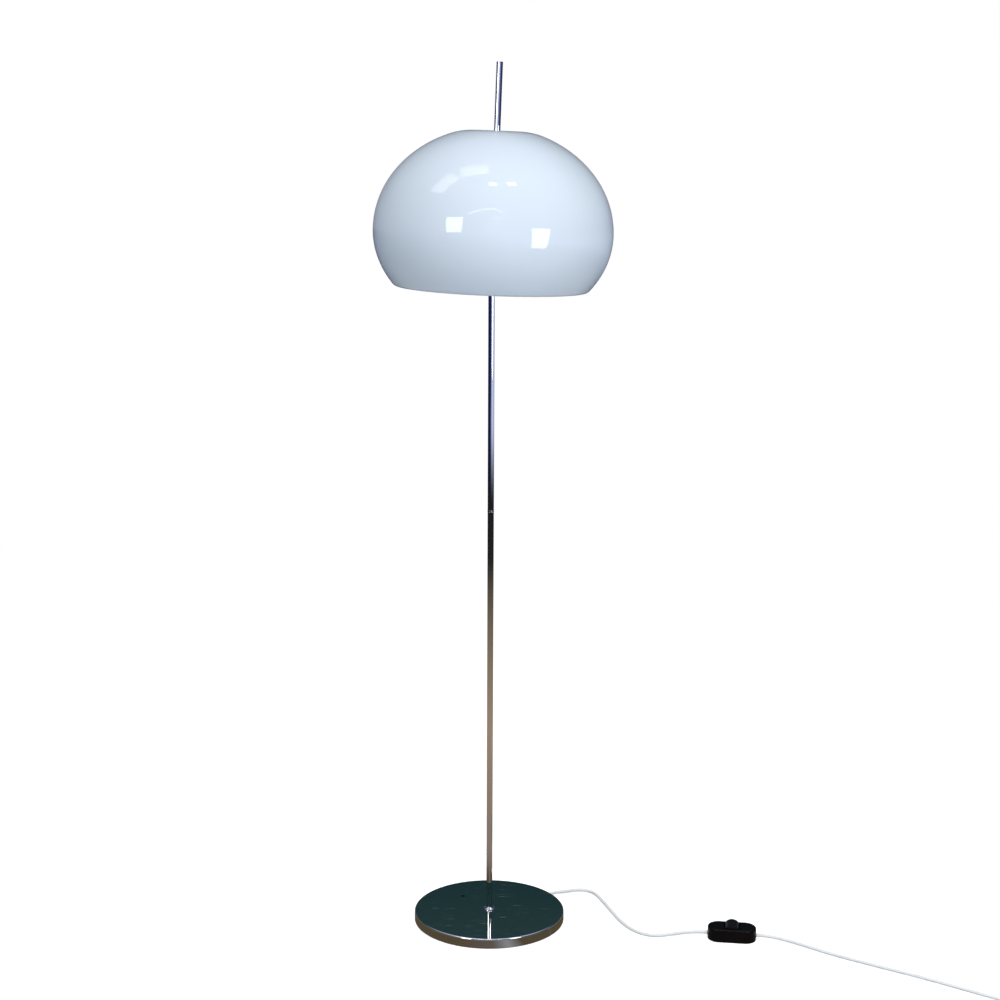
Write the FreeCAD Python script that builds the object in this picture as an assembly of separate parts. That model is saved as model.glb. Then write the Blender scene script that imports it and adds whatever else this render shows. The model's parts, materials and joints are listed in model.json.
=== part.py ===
import FreeCAD, Part
import math
import os

# Floor lamp: a white acrylic mushroom shade on a chromed pole with a round weighted foot.
# Millimetres, +Z up. The origin is the centre of the felt's underside, on the floor.
# -Y is the side the lamp is seen from, and +X is to the right of it.

V = FreeCAD.Vector
Z_AXIS = V(0, 0, 1)

# ---- Clearances ----
SLIDE_FIT = 0.06  # radial play of a shaft that turns or slides in its hole
SEAT_FIT = 0.05  # radial play of a fixed piece in its hole
FACE_GAP = 0.3  # between faces that move past each other
OVERCUT = 5.0  # how far a cutting tool stands out of what it cuts

# ---- Pole ----
TUBE_RADIUS = 6.0
TUBE_WALL = 1.5
NIPPLE_RADIUS = 5.0
NIPPLE_BORE = 3.6
THREAD_DEPTH = 24.0
THREAD_RELIEF = 3.0
LOWER_TUBE_LENGTH = 810.0
JOINT_RING_HEIGHT = 2.4
JOINT_RING_PROUD = 0.35
UPPER_TUBE_LENGTH = 430.6

# ---- Foot ----
BASE_RADIUS = 149.0
BASE_HEIGHT = 20.0
COVER_WALL = 1.2
COVER_EDGE_RADIUS = 3.5
COVER_LIFT = 0.8
FELT_THICKNESS = 2.0
BALLAST_CHAMFER = 2.6
CAVITY_RADIUS = 20.0
CAVITY_DEPTH = 12.0
WASHER_RADIUS = 14.0
WASHER_THICKNESS = 1.2
BASE_NUT_ACROSS = 15.0
BASE_NUT_THICKNESS = 3.0
NIPPLE_TAIL = 0.5
COLLAR_RADIUS = 11.4
COLLAR_TOP_RADIUS = 7.2
COLLAR_HEIGHT = 4.6
COLLAR_BRIM = 1.3

# ---- Cord ----
CORD_RADIUS = 3.2
CORD_HEIGHT_IN_BASE = 8.2
CORD_AZIMUTH = 40.0  # where it leaves the foot, from +X towards +Y
CHANNEL_WIDTH = 8.6
CHANNEL_DEPTH = 10.0
CHANNEL_END = 24.0  # distance of the sheath's inner end from the pole's axis
GLAND_NECK_RADIUS = 4.6
GLAND_FLANGE_RADIUS = 5.9
GLAND_FLANGE = 1.5
GLAND_NOSE_RADIUS = 4.5
GLAND_NOSE = 5.0
CLIP_PLACE = 76.0
CLIP_LENGTH = 12.0
LEAD_RADIUS = 1.6
LEAD_HEIGHT = 6.6
LEAD_BEND = 5.0

# ---- Lamp-holder cluster ----
BALL_RADIUS = 24.0
BALL_WALL = 4.5
PORT_REACH = 22.0  # from the ball's centre to each port's flat
BALL_SPIGOT = 2.2
BALL_SPIGOT_WALL = 1.8
ARM_COUNT = 3
ARM_FIRST_AZIMUTH = 90.0
ARM_ELEVATION = 35.0
ARM_COLLAR_RADIUS = 8.5
ARM_COLLAR_LENGTH = 5.0
NIPPLE_DEPTH_IN_BALL = 5.0
NIPPLE_DEPTH_IN_HOLDER = 10.0
HOLDER_RADIUS = 19.5
HOLDER_FOOT_RADIUS = 11.0
HOLDER_SHOULDER = 11.0
HOLDER_CAP_LENGTH = 23.0
HOLDER_GROOVE = 1.0
HOLDER_LENGTH = 55.0
HOLDER_RIM = 3.5
HOLDER_FLOOR = 26.0
SCREW_CAP_RADIUS = 13.1
SCREW_CAP_LENGTH = 24.0
SCREW_CAP_TIP_RADIUS = 5.0
SCREW_CAP_TIP = 3.0
BULB_RADIUS = 30.0
BULB_LENGTH = 80.0
BULB_NECK_RADIUS = 14.6
BULB_WALL = 1.0
BLOCK_SIZE = (20.0, 13.0, 12.0)
BLOCK_POST_RADIUS = 3.0
BLOCK_POST_HEIGHT = 2.5

# ---- Guide rod, which leans ----
ROD_LEAN = 2.0
ROD_COLLAR_RADIUS = 9.0
ROD_COLLAR_HEIGHT = 5.0
ROD_TUBE_LENGTH = 359.0
ROD_CAP_HEIGHT = 2.5
ROD_CAP_PLUG = 8.0
ROD_CAP_DIMPLE = 0.8

# ---- Shade, measured along the guide rod from the ball's centre ----
SHADE_TOP = 263.5
SHADE_RADIUS = 225.0
SHADE_WALL = 3.0
DOME_RISE = 193.5  # half height of the dome's ellipse, above the widest ring
BOWL_DROP = 180.0  # half height of the bowl's ellipse, below the widest ring
RIM_DROP = 106.0  # from the widest ring down to the rim
SHADE_FLAT_RADIUS = 62.0
FLAT_EDGE_RADIUS = 160.0
RIM_EDGE_RADIUS = 7.0
RIM_LIP = 5.0
SHADE_HOLE_RADIUS = 7.2

# ---- Carrier under the shade ----
SEAT_RING_INNER = 22.0
SEAT_RING_OUTER = 34.0
SEAT_RING_THICKNESS = 2.0
PLATE_RADIUS = 42.0
PLATE_THICKNESS = 2.0
PLATE_EDGE = 5.0
HUB_RADIUS = 10.5
HUB_LENGTH = 25.0
HUB_FLANGE_RADIUS = 15.0
HUB_FLANGE = 4.0
HUB_SPIGOT_RADIUS = 8.4
CARRIER_NUT_ACROSS = 24.0
CARRIER_NUT_THICKNESS = 1.5
BOSS_RADIUS = 6.5
BOSS_REACH = 17.0
BOSS_DROP = 14.0  # the thumbscrew's axis under the hub's flange
SCREW_RADIUS = 3.0
KNOB_RADIUS = 9.0
KNOB_LENGTH = 9.0
KNOB_STEM_RADIUS = 5.0
KNOB_STEM = 2.5
KNOB_FLUTES = 14
KNOB_FLUTE_RADIUS = 1.3

# ---- Foot switch, in the cord ----
SWITCH_PLACE = (474.8, -94.0)
SWITCH_YAW = -7.6
SWITCH_LENGTH = 94.0
SWITCH_WIDTH = 47.0
SWITCH_HEIGHT = 26.0
SWITCH_CORNER = 22.0
SWITCH_TOP_EDGE = 4.0
SWITCH_BOTTOM_EDGE = 1.5
SWITCH_WALL = 2.2
SWITCH_SEAM = 10.0
ROCKER_WIDTH = 31.0
ROCKER_RISE = 8.0
ROCKER_ARCH_RADIUS = 15.6
ROCKER_PIVOT_HEIGHT = 14.5
ROCKER_BOTTOM = 11.0
ROCKER_TILT = 8.0  # either way, which the slot in the cover leaves room for
ROCKER_GROOVES = 5
ROCKER_GROOVE_STEP = 11.0
ROCKER_GROOVE_RADIUS = 0.5
PIN_RADIUS = 1.5
LUG_WIDTH = 8.0
LUG_THICKNESS = 2.0
LUG_DROP = 4.0
POST_PLACE = 33.0
POST_RADIUS = 4.0
SWITCH_SCREW_RADIUS = 1.5
SWITCH_SCREW_HEAD = 3.0
SWITCH_SCREW_HEAD_HEIGHT = 2.0
SWITCH_SCREW_LENGTH = 16.0
RELIEF_RADIUS = 4.7
RELIEF_FLANGE_RADIUS = 6.2
RELIEF_FLANGE = 2.0
RELIEF_NOSE = 0.6

# ---- Cord's routes: points chosen along the floor, between the straight runs at each end ----
END_RUN = 20.0  # straight run out of the gland, the switch's bushes, the coil and the plug
CORD_TO_SWITCH = (
    (156.5, 126.2, 4.2), (177.7, 138.1, 3.2), (199.6, 137.1, 3.2), (217.1, 124.0, 3.2),
    (231.1, 83.3, 3.2), (249.0, 20.0, 3.2), (266.0, -34.0, 3.2), (291.0, -75.0, 3.2),
    (324.0, -92.0, 3.2), (352.0, -83.5, 3.2), (380.0, -81.2, 6.5),
)
CORD_TO_COIL = (
    (578.0, -109.0, 4.6), (606.0, -128.0, 3.2), (650.0, -166.0, 3.2), (718.0, -213.0, 3.2),
    (798.0, -264.0, 3.2), (868.0, -315.0, 3.2), (928.0, -360.0, 3.2),
)
CORD_TO_PLUG = ((1079.0, -352.5, 9.0),)

# ---- Put-away coil of the cord's spare length ----
COIL_START = (978.0, -395.0)
COIL_HEADING = -36.0
COIL_HEIGHT = 4.4
COIL_OUTER_RADIUS = 45.7
COIL_PITCH = 6.95
COIL_TURNS_IN = 3.0
COIL_TURNS_OUT = 3.25
TIE_TURN = 246.0  # degrees round the coil from where the cord comes in
TIE_WIDTH = 8.0
TIE_THICKNESS = 0.8
TIE_CORNER = 2.0

# ---- Plug ----
PLUG_TAIL = (1101.0, -318.0)  # where the cord goes into the plug
PLUG_HEADING = 54.0
PLUG_WIDTH = 35.0
PLUG_THICKNESS = 13.7
PLUG_LENGTH = 36.0
PLUG_TAIL_WIDTH = 14.0
PLUG_TAIL_THICKNESS = 11.0
PLUG_WAIST_WIDTH = 24.0
PIN_SPACING = 18.6
PLUG_PIN_RADIUS = 2.0
PLUG_PIN_LENGTH = 19.0
PLUG_PIN_SLEEVE = 10.0
PLUG_PIN_ROOT = 8.0
PLUG_RELIEF_LENGTH = 24.0
PLUG_RELIEF_RADIUS = 5.0
PLUG_RELIEF_END = 3.9
PLUG_RELIEF_GROOVES = 4

# ---- Places worked out from the sizes above ----
TUBE_BORE = TUBE_RADIUS - TUBE_WALL
THREAD_BORE = NIPPLE_RADIUS + SEAT_FIT
JOINT_HEIGHT = BASE_HEIGHT + LOWER_TUBE_LENGTH
UPPER_TUBE_FOOT = JOINT_HEIGHT + JOINT_RING_HEIGHT
BALL_HEIGHT = UPPER_TUBE_FOOT + UPPER_TUBE_LENGTH + PORT_REACH
BALL_INNER = BALL_RADIUS - BALL_WALL
ARM_FACE = PORT_REACH + ARM_COLLAR_LENGTH
ROD_FOOT = PORT_REACH + ROD_COLLAR_HEIGHT
ROD_TOP = ROD_FOOT + ROD_TUBE_LENGTH
DOME_TOP = DOME_RISE * math.sqrt(1 - (SHADE_FLAT_RADIUS / SHADE_RADIUS) ** 2)
SHADE_WIDEST = SHADE_TOP - DOME_TOP
SEAT_RING_TOP = SHADE_TOP - SHADE_WALL - FACE_GAP
PLATE_TOP = SEAT_RING_TOP - SEAT_RING_THICKNESS
HUB_TOP = PLATE_TOP - PLATE_THICKNESS
SCREW_HEIGHT = HUB_TOP - HUB_FLANGE - BOSS_DROP + HUB_RADIUS - BOSS_RADIUS
COVER_INNER = BASE_RADIUS - COVER_WALL
BALLAST_TOP = BASE_HEIGHT - COVER_WALL
CAVITY_TOP = FELT_THICKNESS + CAVITY_DEPTH
NUT_TOP = CAVITY_TOP - WASHER_THICKNESS
GLAND_FACE = BASE_RADIUS + GLAND_FLANGE + GLAND_NOSE
CORD_IN_SWITCH = SWITCH_SEAM
ROCKER_ARCH_HEIGHT = SWITCH_HEIGHT + ROCKER_RISE - ROCKER_ARCH_RADIUS
LEAN = FreeCAD.Placement(V(0, 0, BALL_HEIGHT), FreeCAD.Rotation(V(0, 1, 0), ROD_LEAN))
SWITCH = FreeCAD.Placement(V(*SWITCH_PLACE, 0), FreeCAD.Rotation(Z_AXIS, SWITCH_YAW))


def radial(azimuth, height):
    """Placement whose +Z points outwards from the pole at an azimuth, at a height."""
    turn = FreeCAD.Rotation(Z_AXIS, azimuth) * FreeCAD.Rotation(V(0, 1, 0), 90)
    return FreeCAD.Placement(V(0, 0, height), turn)


def arm_placement(index):
    """Placement whose +Z runs along one of the cluster's arms, from the ball's centre."""
    azimuth = ARM_FIRST_AZIMUTH + index * 360.0 / ARM_COUNT
    turn = FreeCAD.Rotation(Z_AXIS, azimuth) * FreeCAD.Rotation(V(0, 1, 0), 90 - ARM_ELEVATION)
    return FreeCAD.Placement(V(0, 0, BALL_HEIGHT), turn)


def placed(shape, placement):
    copy = shape.copy()
    copy.Placement = placement.multiply(copy.Placement)
    return copy


def bar(radius, low, high):
    """Cylinder on the Z axis between two heights."""
    return Part.makeCylinder(radius, high - low, V(0, 0, low))


def ring(outer, inner, low, high):
    return bar(outer, low, high).cut(bar(inner, low - OVERCUT, high + OVERCUT))


def turned(*profile):
    """Solid of revolution about Z from (r, z) points; a pair of points is an arc's middle and end."""
    first = V(profile[0][0], 0, profile[0][1])
    start = first
    edges = []
    for step in profile[1:] + (profile[0],):
        if isinstance(step[0], tuple):
            middle, end = (V(r, 0, z) for r, z in step)
            edges.append(Part.Arc(start, middle, end).toShape())
        else:
            end = V(step[0], 0, step[1])
            edges.append(Part.LineSegment(start, end).toShape())
        start = end
    return Part.Face(Part.Wire(edges)).revolve(V(0, 0, 0), Z_AXIS, 360)


def block(length, width, low, high):
    """Box centred on the Z axis."""
    return Part.makeBox(length, width, high - low, V(-length / 2, -width / 2, low))


def upright_edges(shape):
    return [edge for edge in shape.Edges if abs(edge.tangentAt(edge.FirstParameter).z) > 0.99]


def level_edges(shape, height):
    return [edge for edge in shape.Edges if all(abs(vertex.Z - height) < 0.001 for vertex in edge.Vertexes)]


def rounded_block(length, width, corner, low, high):
    box = block(length, width, low, high)
    return box.makeFillet(corner, upright_edges(box))


def hexagon(across, low, high):
    """Hexagonal bar on the Z axis, by its size across flats."""
    reach = across / math.sqrt(3)
    corners = [V(reach * math.cos(math.radians(a)), reach * math.sin(math.radians(a)), low) for a in range(0, 361, 60)]
    return Part.Face(Part.makePolygon(corners)).extrude(V(0, 0, high - low))


def save(name, shape):
    if len(shape.Solids) != 1:
        raise ValueError(f"{name} has {len(shape.Solids)} solids")
    solid = shape.Solids[0]
    if not solid.isValid():
        raise ValueError(f"{name} is not valid")
    solid.exportStep(f"parts/{name}.step")


# ---- Foot ----
def base_cover():
    cover = bar(BASE_RADIUS, COVER_LIFT, BASE_HEIGHT)
    cover = cover.makeFillet(COVER_EDGE_RADIUS, level_edges(cover, BASE_HEIGHT))
    inside = bar(COVER_INNER, COVER_LIFT - OVERCUT, BALLAST_TOP)
    inside = inside.makeFillet(COVER_EDGE_RADIUS - COVER_WALL, level_edges(inside, BALLAST_TOP))
    gland_hole = placed(bar(GLAND_NECK_RADIUS + SEAT_FIT, CAVITY_RADIUS, BASE_RADIUS + OVERCUT), gland_placement())
    return cover.cut(inside).cut(bar(THREAD_BORE, 0, BASE_HEIGHT + OVERCUT)).cut(gland_hole)


def gland_placement():
    return radial(CORD_AZIMUTH, CORD_HEIGHT_IN_BASE)


def ballast_disc():
    radius = COVER_INNER - FACE_GAP
    disc = bar(radius, FELT_THICKNESS, BALLAST_TOP - SEAT_FIT)
    disc = disc.makeChamfer(BALLAST_CHAMFER, level_edges(disc, BALLAST_TOP - SEAT_FIT))
    channel = Part.makeBox(BASE_RADIUS, CHANNEL_WIDTH, CHANNEL_DEPTH + OVERCUT,
                           V(0, -CHANNEL_WIDTH / 2, FELT_THICKNESS - OVERCUT))
    pocket_width = 2 * (GLAND_FLANGE_RADIUS + FACE_GAP)
    pocket_start = COVER_INNER - GLAND_FLANGE - 2 * FACE_GAP
    pocket = Part.makeBox(BASE_RADIUS, pocket_width, CORD_HEIGHT_IN_BASE + pocket_width / 2 + OVERCUT,
                          V(pocket_start, -pocket_width / 2, -OVERCUT))
    turn = FreeCAD.Placement(V(0, 0, 0), FreeCAD.Rotation(Z_AXIS, CORD_AZIMUTH))
    for tool in (channel, pocket):
        disc = disc.cut(placed(tool, turn))
    disc = disc.cut(bar(CAVITY_RADIUS, 0, CAVITY_TOP))
    return disc.cut(bar(THREAD_BORE, 0, BASE_HEIGHT))


def felt_pad():
    return bar(COVER_INNER - FACE_GAP, 0, FELT_THICKNESS)


def base_washer():
    return ring(WASHER_RADIUS, THREAD_BORE, NUT_TOP, CAVITY_TOP)


def base_lock_nut():
    nut = hexagon(BASE_NUT_ACROSS, NUT_TOP - BASE_NUT_THICKNESS, NUT_TOP)
    return nut.cut(bar(THREAD_BORE, 0, BASE_HEIGHT))


def base_nipple():
    return ring(NIPPLE_RADIUS, NIPPLE_BORE, NUT_TOP - BASE_NUT_THICKNESS - NIPPLE_TAIL, BASE_HEIGHT + THREAD_DEPTH)


def foot_collar():
    """Low bell-shaped ring round the pole's foot."""
    low = BASE_HEIGHT
    bore = TUBE_RADIUS + SEAT_FIT
    shoulder = (COLLAR_TOP_RADIUS + 0.3 * (COLLAR_RADIUS - COLLAR_TOP_RADIUS),
                low + COLLAR_BRIM + 0.3 * (COLLAR_HEIGHT - COLLAR_BRIM))
    return turned((bore, low), (COLLAR_RADIUS, low), (COLLAR_RADIUS, low + COLLAR_BRIM),
                  (shoulder, (COLLAR_TOP_RADIUS, low + COLLAR_HEIGHT)), (bore, low + COLLAR_HEIGHT))


def cord_gland():
    """Grommet with a flange on each side of the cover's skirt and a short nose for the cord."""
    inner = COVER_INNER - SEAT_FIT * 3
    outer = BASE_RADIUS + SEAT_FIT
    bore = CORD_RADIUS + SEAT_FIT
    gland = turned((bore, inner - GLAND_FLANGE), (GLAND_FLANGE_RADIUS, inner - GLAND_FLANGE),
                   (GLAND_FLANGE_RADIUS, inner), (GLAND_NECK_RADIUS, inner), (GLAND_NECK_RADIUS, outer),
                   (GLAND_FLANGE_RADIUS, outer), (GLAND_FLANGE_RADIUS, outer + GLAND_FLANGE / 2),
                   (GLAND_NOSE_RADIUS + 0.5, outer + GLAND_FLANGE), (GLAND_NOSE_RADIUS, GLAND_FACE),
                   (bore, GLAND_FACE))
    return placed(gland, gland_placement())


def cord_inner():
    return placed(bar(CORD_RADIUS, CHANNEL_END, GLAND_FACE), gland_placement())


def cord_clip():
    """Saddle pressed into the ballast's channel, which takes the pull off the leads."""
    clip = Part.makeBox(CLIP_LENGTH, CHANNEL_WIDTH - 2 * SEAT_FIT, CHANNEL_DEPTH - 2 * SEAT_FIT,
                        V(CLIP_PLACE, SEAT_FIT - CHANNEL_WIDTH / 2, FELT_THICKNESS + SEAT_FIT))
    turn = FreeCAD.Placement(V(0, 0, 0), FreeCAD.Rotation(Z_AXIS, CORD_AZIMUTH))
    bore = placed(bar(CORD_RADIUS + SEAT_FIT, 0, BASE_RADIUS), gland_placement())
    return placed(clip, turn).cut(bore)


# ---- Pole ----
def threaded_tube(low, high):
    """Pole tube whose ends are bored out for a threaded nipple."""
    tube = ring(TUBE_RADIUS, TUBE_BORE, low, high)
    depth = THREAD_DEPTH + THREAD_RELIEF
    tube = tube.cut(bar(THREAD_BORE, low - OVERCUT, low + depth))
    return tube.cut(bar(THREAD_BORE, high - depth, high + OVERCUT))


def joint_ring():
    """Bead between the two tubes, a little proud of them."""
    low = JOINT_HEIGHT
    high = UPPER_TUBE_FOOT
    edge = TUBE_RADIUS - SEAT_FIT
    middle = (TUBE_RADIUS + JOINT_RING_PROUD, (low + high) / 2)
    return turned((THREAD_BORE, low), (edge, low), (middle, (edge, high)), (THREAD_BORE, high))


def pole_lead():
    """Leads from the cord's sheath, round the bend under the nipple and up to the terminal block."""
    outward = V(math.cos(math.radians(CORD_AZIMUTH)), math.sin(math.radians(CORD_AZIMUTH)), 0)
    sheath_end = outward * CHANNEL_END + V(0, 0, LEAD_HEIGHT)
    bend_start = outward * LEAD_BEND + V(0, 0, LEAD_HEIGHT)
    bend_end = V(0, 0, LEAD_HEIGHT + LEAD_BEND)
    slack = LEAD_BEND * (1 - math.sqrt(0.5))
    bend_middle = outward * slack + V(0, 0, LEAD_HEIGHT + slack)
    top = V(0, 0, BALL_HEIGHT - BLOCK_SIZE[2] / 2)
    path = Part.Wire([Part.LineSegment(sheath_end, bend_start).toShape(),
                      Part.Arc(bend_start, bend_middle, bend_end).toShape(),
                      Part.LineSegment(bend_end, top).toShape()])
    return swept(path, LEAD_RADIUS, sheath_end, outward * -1)


# ---- Cluster ----
def hollow_ball():
    ball = Part.makeSphere(BALL_RADIUS).cut(Part.makeSphere(BALL_INNER))
    ports = [FreeCAD.Placement(V(0, 0, 0), FreeCAD.Rotation(V(0, 1, 0), ROD_LEAN)),
             FreeCAD.Placement(V(0, 0, 0), FreeCAD.Rotation(V(0, 1, 0), 180))]
    for index in range(ARM_COUNT):
        ports.append(FreeCAD.Placement(V(0, 0, 0), arm_placement(index).Rotation))
    for port in ports:
        ball = ball.cut(placed(bar(BALL_RADIUS, PORT_REACH, BALL_RADIUS + OVERCUT), port))
        ball = ball.cut(placed(bar(THREAD_BORE, BALL_INNER / 2, BALL_RADIUS + OVERCUT), port))
    return placed(ball, FreeCAD.Placement(V(0, 0, BALL_HEIGHT), FreeCAD.Rotation()))


def cluster_halves():
    """The ball parted at its equator; the lower half has a spigot inside the upper one."""
    ball = hollow_ball()
    spigot_radius = BALL_INNER + BALL_SPIGOT_WALL
    below = bar(BALL_RADIUS + OVERCUT, BALL_HEIGHT - BALL_RADIUS - OVERCUT, BALL_HEIGHT)
    spigot = bar(spigot_radius, BALL_HEIGHT - OVERCUT, BALL_HEIGHT + BALL_SPIGOT)
    recess = bar(spigot_radius + SEAT_FIT, BALL_HEIGHT - OVERCUT, BALL_HEIGHT + BALL_SPIGOT + SEAT_FIT)
    lower = ball.common(below.fuse(spigot))
    upper = ball.cut(below).cut(recess)
    return lower, upper


def arm():
    """Threaded nipple with a tapered collar, from the ball into a lamp holder."""
    inner_end = PORT_REACH - NIPPLE_DEPTH_IN_BALL
    outer_end = ARM_FACE + NIPPLE_DEPTH_IN_HOLDER
    collar_end = ARM_COLLAR_RADIUS - 1.5
    return turned((NIPPLE_BORE, inner_end), (NIPPLE_RADIUS, inner_end), (NIPPLE_RADIUS, PORT_REACH),
                  (ARM_COLLAR_RADIUS, PORT_REACH), (collar_end, ARM_FACE), (NIPPLE_RADIUS, ARM_FACE),
                  (NIPPLE_RADIUS, outer_end), (NIPPLE_BORE, outer_end))


def lamp_holder():
    foot = ARM_FACE
    groove = foot + HOLDER_CAP_LENGTH
    mouth = foot + HOLDER_LENGTH
    nipple_end = foot + NIPPLE_DEPTH_IN_HOLDER + SEAT_FIT
    floor = foot + HOLDER_FLOOR
    bore = SCREW_CAP_RADIUS + FACE_GAP
    rim_radius = HOLDER_RADIUS + 0.7
    return turned((THREAD_BORE, foot), (HOLDER_FOOT_RADIUS, foot),
                  (HOLDER_RADIUS, foot + HOLDER_SHOULDER), (HOLDER_RADIUS, groove),
                  (HOLDER_RADIUS - HOLDER_GROOVE, groove), (HOLDER_RADIUS - HOLDER_GROOVE, groove + HOLDER_GROOVE),
                  (HOLDER_RADIUS, groove + HOLDER_GROOVE), (HOLDER_RADIUS, mouth - HOLDER_RIM),
                  (rim_radius, mouth - HOLDER_RIM), (rim_radius, mouth), (bore, mouth), (bore, floor),
                  (LEAD_RADIUS, floor), (LEAD_RADIUS, nipple_end), (THREAD_BORE, nipple_end))


def bulb_cap():
    mouth = ARM_FACE + HOLDER_LENGTH
    shoulder = mouth - SCREW_CAP_LENGTH
    return turned((0, shoulder - SCREW_CAP_TIP), (SCREW_CAP_TIP_RADIUS, shoulder - SCREW_CAP_TIP),
                  (SCREW_CAP_RADIUS, shoulder), (SCREW_CAP_RADIUS, mouth), (0, mouth))


def bulb_glass():
    """Hollow bulb: a waisted neck that widens into a ball, open where the cap closes it."""
    mouth = ARM_FACE + HOLDER_LENGTH
    centre = mouth + BULB_LENGTH - BULB_RADIUS

    def outline(inset):
        radius = BULB_RADIUS - inset
        meet = (radius * 0.78, centre - radius * math.sqrt(1 - 0.78 ** 2))
        neck = (BULB_NECK_RADIUS - inset, mouth)
        waist = (neck[0] + 0.32 * (meet[0] - neck[0]), neck[1] + 0.58 * (meet[1] - neck[1]))
        return neck, waist, meet, (radius, centre), (0, centre + radius)

    neck, waist, meet, side, tip = outline(0)
    neck_in, waist_in, meet_in, side_in, tip_in = outline(BULB_WALL)
    return turned(neck, (waist, meet), (side, tip), tip_in, (side_in, meet_in), (waist_in, neck_in))


def terminal_block():
    """Three-way strip inside the ball, with a screw post over each way."""
    length, width, height = BLOCK_SIZE
    low = BALL_HEIGHT - height / 2
    strip = rounded_block(length, width, 2.0, low, low + height)
    for way in (-1, 0, 1):
        post = bar(BLOCK_POST_RADIUS, low + height - SEAT_FIT, low + height + BLOCK_POST_HEIGHT)
        strip = strip.fuse(placed(post, FreeCAD.Placement(V(way * length / 3, 0, 0), FreeCAD.Rotation())))
    return strip.removeSplitter()


# ---- Guide rod ----
def rod_collar():
    return turned((THREAD_BORE, PORT_REACH), (ROD_COLLAR_RADIUS, PORT_REACH),
                  (ROD_COLLAR_RADIUS, PORT_REACH + ROD_COLLAR_HEIGHT / 2), (TUBE_RADIUS + 0.5, ROD_FOOT),
                  (THREAD_BORE, ROD_FOOT))


def rod_nipple():
    return ring(NIPPLE_RADIUS, NIPPLE_BORE, PORT_REACH - NIPPLE_DEPTH_IN_BALL, ROD_FOOT + THREAD_DEPTH)


def guide_rod():
    tube = ring(TUBE_RADIUS, TUBE_BORE, ROD_FOOT, ROD_TOP)
    return tube.cut(bar(THREAD_BORE, ROD_FOOT - OVERCUT, ROD_FOOT + THREAD_DEPTH + THREAD_RELIEF))


def rod_end_cap():
    """Plug in the rod's open end, with a rounded edge and a shallow dimple."""
    top = ROD_TOP + ROD_CAP_HEIGHT
    edge = ROD_CAP_HEIGHT * 0.6
    dimple = TUBE_RADIUS * 0.5
    corner = (TUBE_RADIUS - edge * (1 - math.sqrt(0.5)), top - edge * (1 - math.sqrt(0.5)))
    plug = TUBE_BORE - SEAT_FIT
    return turned((0, ROD_TOP - ROD_CAP_PLUG), (plug, ROD_TOP - ROD_CAP_PLUG), (plug, ROD_TOP),
                  (TUBE_RADIUS, ROD_TOP), (TUBE_RADIUS, top - edge), (corner, (TUBE_RADIUS - edge, top)),
                  (dimple, top), (0, top - ROD_CAP_DIMPLE))


# ---- Shade ----
def dome(inset):
    """Solid of the shade's outline, drawn in by a wall thickness, from its flat top to its rim."""
    width = SHADE_RADIUS - inset
    rise = DOME_RISE - inset
    drop = BOWL_DROP - inset
    top = SHADE_TOP - inset
    rim = SHADE_WIDEST - RIM_DROP + inset
    flat = width * math.sqrt(1 - ((top - SHADE_WIDEST) / rise) ** 2)
    rim_radius = width * math.sqrt(1 - ((SHADE_WIDEST - rim) / drop) ** 2)
    low_angle = math.asin((SHADE_WIDEST - rim) / drop)
    upper = ellipse_arc(width, rise, math.acos(flat / width), 0)
    lower = ellipse_arc(width, drop, 0, -low_angle)
    edges = [Part.LineSegment(V(0, 0, top), V(flat, 0, top)).toShape(), upper, lower,
             Part.LineSegment(V(rim_radius, 0, rim), V(0, 0, rim)).toShape(),
             Part.LineSegment(V(0, 0, rim), V(0, 0, top)).toShape()]
    solid = Part.Face(Part.Wire(edges)).revolve(V(0, 0, 0), Z_AXIS, 360)
    flat_edges = [e for e in level_edges(solid, top) if e.Length > TUBE_RADIUS]
    solid = solid.makeFillet(FLAT_EDGE_RADIUS, flat_edges)
    rim_edges = [e for e in level_edges(solid, rim) if e.Length > TUBE_RADIUS]
    return solid.makeFillet(RIM_EDGE_RADIUS - inset, rim_edges)


def ellipse_arc(width, height, start, end):
    """Arc of an ellipse that is centred in the shade's widest ring, between two angles."""
    angles = [start + (end - start) * share for share in (0, 0.25, 0.5, 0.75, 1)]
    points = [V(width * math.cos(a), 0, SHADE_WIDEST + height * math.sin(a)) for a in angles]
    onwards = math.copysign(1, end - start)
    directions = [V(-width * math.sin(a), 0, height * math.cos(a)) * onwards for a in (start, end)]
    curve = Part.BSplineCurve()
    curve.interpolate(Points=points, InitialTangent=directions[0], FinalTangent=directions[1])
    return curve.toShape()


def shade():
    """Dome with a flat top, a bowl under its widest ring, and a rolled rim with a narrow lip."""
    rim = SHADE_WIDEST - RIM_DROP
    rim_radius = SHADE_RADIUS * math.sqrt(1 - (RIM_DROP / BOWL_DROP) ** 2)
    mouth = rim_radius - RIM_EDGE_RADIUS - RIM_LIP
    skin = dome(0).cut(dome(SHADE_WALL))
    skin = skin.cut(bar(mouth, rim - OVERCUT, rim + SHADE_WALL + OVERCUT))
    return skin.cut(bar(SHADE_HOLE_RADIUS, SHADE_TOP - SHADE_WALL - OVERCUT, SHADE_TOP + OVERCUT))


# ---- Carrier that holds the shade on the guide rod ----
def seat_ring():
    return ring(SEAT_RING_OUTER, SEAT_RING_INNER, PLATE_TOP, SEAT_RING_TOP)


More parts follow.
